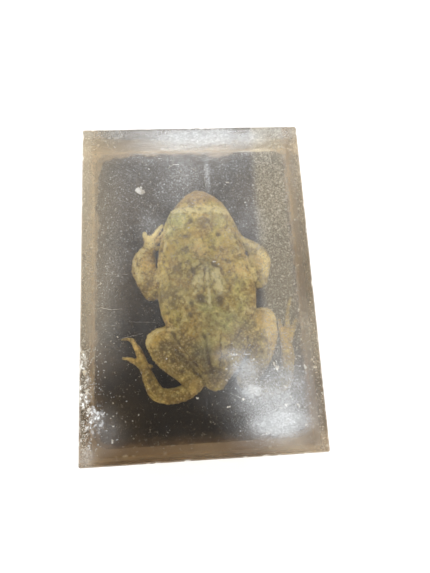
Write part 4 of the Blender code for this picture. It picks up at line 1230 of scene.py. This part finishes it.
# Specks, scratches and chips
class Specks:
    """Points and faces of many small closed forms, and the random draws that place them."""

    def __init__(self):
        self.places = []
        self.faces = []
        self.draw = np.random.default_rng(SEED + 40)

    def blob(self, centre, radius):
        first = len(self.places)
        sizes = radius * self.draw.uniform(0.6, 1.3, 3)
        sizes[2] = min(FLATTEST, sizes[2] * 0.5)
        for axis in range(3):
            for side in (-1, 1):
                corner = np.array(centre, dtype=float)
                corner[axis] += side * sizes[axis]
                self.places.append(tuple(corner))
        for x in (0, 1):
            for y in (2, 3):
                for z in (4, 5):
                    ring = (first + x, first + y, first + z)
                    self.faces.append(ring if (x + y + z) % 2 else ring[::-1])

    def fibre(self, line, radius):
        """A three-sided tube along a line of points that lies nearly flat."""
        first = len(self.places)
        line = [np.array(p, dtype=float) for p in line]
        final = len(line) - 1
        for k, point in enumerate(line):
            ahead = line[min(k + 1, final)] - line[max(k - 1, 0)]
            ahead /= max(np.linalg.norm(ahead), 1e-9)
            side = np.array([-ahead[1], ahead[0], 0])
            thick = radius * (0.45 if k in (0, final) else 1)
            for turn in (90, 210, 330):
                angle = math.radians(turn)
                lift = min(FLATTEST, thick * 0.5) * math.sin(angle)
                self.places.append(tuple(point + side * math.cos(angle) * thick + (0, 0, lift)))
        for low in range(first, first + 3 * final, 3):
            for a, b in ((0, 1), (1, 2), (2, 0)):
                self.faces.append((low + a, low + 3 + a, low + 3 + b, low + b))
        last = first + 3 * final
        self.faces += [(first, first + 1, first + 2), (last + 2, last + 1, last)]


def curl(spot, heading, bend, length, parts):
    """A line from the spot that turns by the same bend after each of its parts."""
    x, y, z = spot
    line = [spot]
    for _ in range(parts):
        x += math.cos(heading) * length / parts
        y += math.sin(heading) * length / parts
        heading += bend
        line.append((x, y, z))
    return line


def speck_density(x, y):
    """How many specks there are here, 0 to 1: most along the right side and the upper left."""
    for here, density in ((x > 14, 0.95), (y > 24, 0.6), (x < -27, 0.7), (y < -34, 0.35)):
        if here:
            return density
    return 0.3


def add_lint(specks):
    """Dust, lint and tiny bubbles on the base and just under the upper face."""
    draw = specks.draw
    base = BLOCK_LOW[2] / MM + 0.3
    made = 0
    while made < LINT_COUNT:
        x = draw.uniform(-HALF_X + 1.2, HALF_X - 1.2)
        y = draw.uniform(-HALF_Y + 1.2, HALF_Y - 1.2)
        if draw.uniform() > speck_density(x, y):
            continue
        made += 1
        sunk = 0.3 if abs(x) > 30 else 0.75
        z = base + draw.exponential(0.5) if draw.uniform() < sunk else draw.uniform(23, SPECK_TOP)
        spot = (x, y, min(z, SPECK_TOP))
        usual = 0.12 if x > 30 else 0.07
        size = min(LARGEST_SPECK, usual * math.exp(draw.normal(0, 0.45)))
        if draw.uniform() < 0.7:
            specks.blob(spot, size)
        else:
            specks.fibre(curl(spot, draw.uniform(0, 2 * math.pi), draw.normal(0, 0.9),
                              draw.uniform(0.25, 0.8), 3), size * 0.6)


def add_glints(specks):
    """Painted glints: bluish white specks over the broken resin along the left edge and in the
    glare at the lower right.
    """
    draw = specks.draw
    for k in range(GLINT_COUNT):
        if draw.uniform() < 0.6:
            x = -HALF_X + 1.1 + draw.exponential(2.1)
            y = draw.uniform(-51, -20)
        else:
            x = 25 + draw.normal(0, 7.5)
            y = -34 + draw.normal(0, 8)
        x = np.clip(x, -HALF_X + 0.6, HALF_X - 0.6)
        y = np.clip(y, -HALF_Y + 0.6, HALF_Y - 0.6)
        spot = (x, y, SPECK_TOP - draw.uniform(0, DEEPEST_GLINT))
        if k % 5:
            specks.blob(spot, min(0.26, 0.09 * math.exp(draw.normal(0, 0.6))))
            continue
        line = curl(spot, math.radians(draw.normal(70, 45)), draw.normal(0, 0.7),
                    draw.uniform(0.3, 0.9), 4)
        if max(abs(line[-1][0]) - HALF_X, abs(line[-1][1]) - HALF_Y) < -0.4:
            specks.fibre(line, draw.uniform(0.05, 0.16))


def add_scratches(specks):
    """Scratches in short pieces and chips as clots, at the upper face."""
    draw = specks.draw
    for line, radius in SCRATCHES:
        bent = []
        for start, end in zip(line, line[1:]):
            for x, y in subdivided(start, end, 0.7, 2):
                bent.append((x + draw.normal(0, 0.06), y + draw.normal(0, 0.06), SPECK_TOP))
        bent.append((*line[-1], SPECK_TOP))
        for start in range(0, len(bent) - 1, 3):
            if draw.uniform() < 0.85:
                specks.fibre(bent[start:start + 4], radius * draw.uniform(0.5, 1.2))
    for x, y, long, wide, turn in CHIPS:
        turn = math.radians(turn)
        for _ in range(4 + round(12 * long)):
            along, across = draw.normal(0, long * 0.45), draw.normal(0, wide * 0.45)
            spot = (x + along * math.cos(turn) - across * math.sin(turn),
                    y + along * math.sin(turn) + across * math.cos(turn), SPECK_TOP)
            specks.blob(spot, wide * draw.uniform(0.4, 0.85))


def make_specks():
    forms = Specks()
    draw = forms.draw
    add_lint(forms)
    for _ in range(RIM_FLECK_COUNT):      # larger flecks over the right rim
        x, y = draw.uniform(24, HALF_X - 0.8), draw.uniform(-46, HALF_Y - 0.8)
        size = min(LARGEST_SPECK, 0.13 * math.exp(draw.normal(0, 0.35)))
        forms.blob((x, y, SPECK_TOP), size)
    first_glint = len(forms.faces)
    add_glints(forms)
    last_glint = len(forms.faces)
    add_scratches(forms)

    mesh = bpy.data.meshes.new("resin_specks")
    mesh.from_pydata([tuple(c * MM for c in p) for p in forms.places], [], forms.faces)
    bm = bmesh.new()
    bm.from_mesh(mesh)
    bmesh.ops.recalc_face_normals(bm, faces=bm.faces)
    bm.to_mesh(mesh)
    bm.free()
    mesh.materials.append(mottled_material("pale_specks", 400, (0.6, 0.54, 0.44),
                                           (0.98, 0.96, 0.92), {"Roughness": 0.5}))
    # bluish white specks as painted glints
    mesh.materials.append(mottled_material("white_glints", 900, (0.74, 0.78, 0.82),
                                           (0.97, 0.98, 1), {"Roughness": 0.3}))
    for face in mesh.polygons[first_glint:last_glint]:
        face.material_index = 1
    specks = add_object("resin_specks", mesh)
    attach(specks, "root")


# Stage, light, camera
def make_floor():
    bm = bmesh.new()
    bmesh.ops.create_grid(bm, x_segments=8, y_segments=8, size=3)
    floor = add_object("floor", mesh_from("floor", bm))
    floor.location.z = -0.00002
    floor.data.materials.append(floor_material())


def make_world():
    """Soft daylight from all round, dimmer straight overhead."""
    world = bpy.data.worlds.new("soft_room")
    bpy.context.scene.world = world
    world.use_nodes = True
    world.node_tree.nodes.clear()
    n = Nodes(world.node_tree)
    height = n.axis("Z", n.add("ShaderNodeTexCoord").outputs["Generated"])
    back = n.add("ShaderNodeBackground", {"Color": (1, 0.995, 0.985),
                                          "Strength": n.ramp(height, 0.62, 0.84, 1.75, 0.22)})
    n.add("ShaderNodeOutputWorld", {0: back.outputs[0]})


def make_softbox(name, x0, x1, y0, y1, turn, radiance, soft):
    light = bpy.data.lights.new(name + "_softbox", "AREA")
    light.shape = "RECTANGLE"
    light.size = (x1 - x0) * MM
    light.size_y = (y1 - y0) * MM
    light.color = SOFTBOX_COLOUR
    light.energy = radiance * math.pi * light.size * light.size_y
    light.use_nodes = True
    n = Nodes(light.node_tree)
    across = n.add("ShaderNodeNewGeometry").outputs["Parametric"]
    fades = []
    for axis, low, high in (("X", *soft[:2]), ("Y", *soft[2:])):
        value = n.axis(axis, across)
        fades.append(n.times(n.ramp(value, 0, low), n.ramp(value, 1, 1 - high)))
    n.put(light.node_tree.nodes["Emission"].inputs["Strength"], n.times(*fades))
    made = add_object(name + "_softbox", light)
    made.location = ((x0 + x1) / 2 * MM, (y0 + y1) / 2 * MM, SOFTBOX_HEIGHT * MM)
    made.rotation_euler = (0, 0, math.radians(turn))
    made.visible_camera = False


def make_camera():
    data = bpy.data.cameras.new("camera")
    data.lens = CAMERA_LENS
    data.sensor_width = 36
    data.clip_start = 0.01
    data.clip_end = 20
    right = Vector(CAMERA_RIGHT).normalized()
    up = Vector(CAMERA_UP)
    up = (up - right * up.dot(right)).normalized()
    turn = Matrix((right, up, right.cross(up))).transposed().to_4x4()
    camera = add_object("camera", data)
    camera.matrix_world = Matrix.Translation(CAMERA_PLACE) @ turn
    bpy.context.scene.camera = camera


bpy.context.scene.view_settings.view_transform = "Standard"
make_camera()
make_world()
make_floor()
for box_name, box_place in SOFTBOXES.items():
    make_softbox(box_name, *box_place)
make_frog()
make_block()
make_pad()
make_specks()
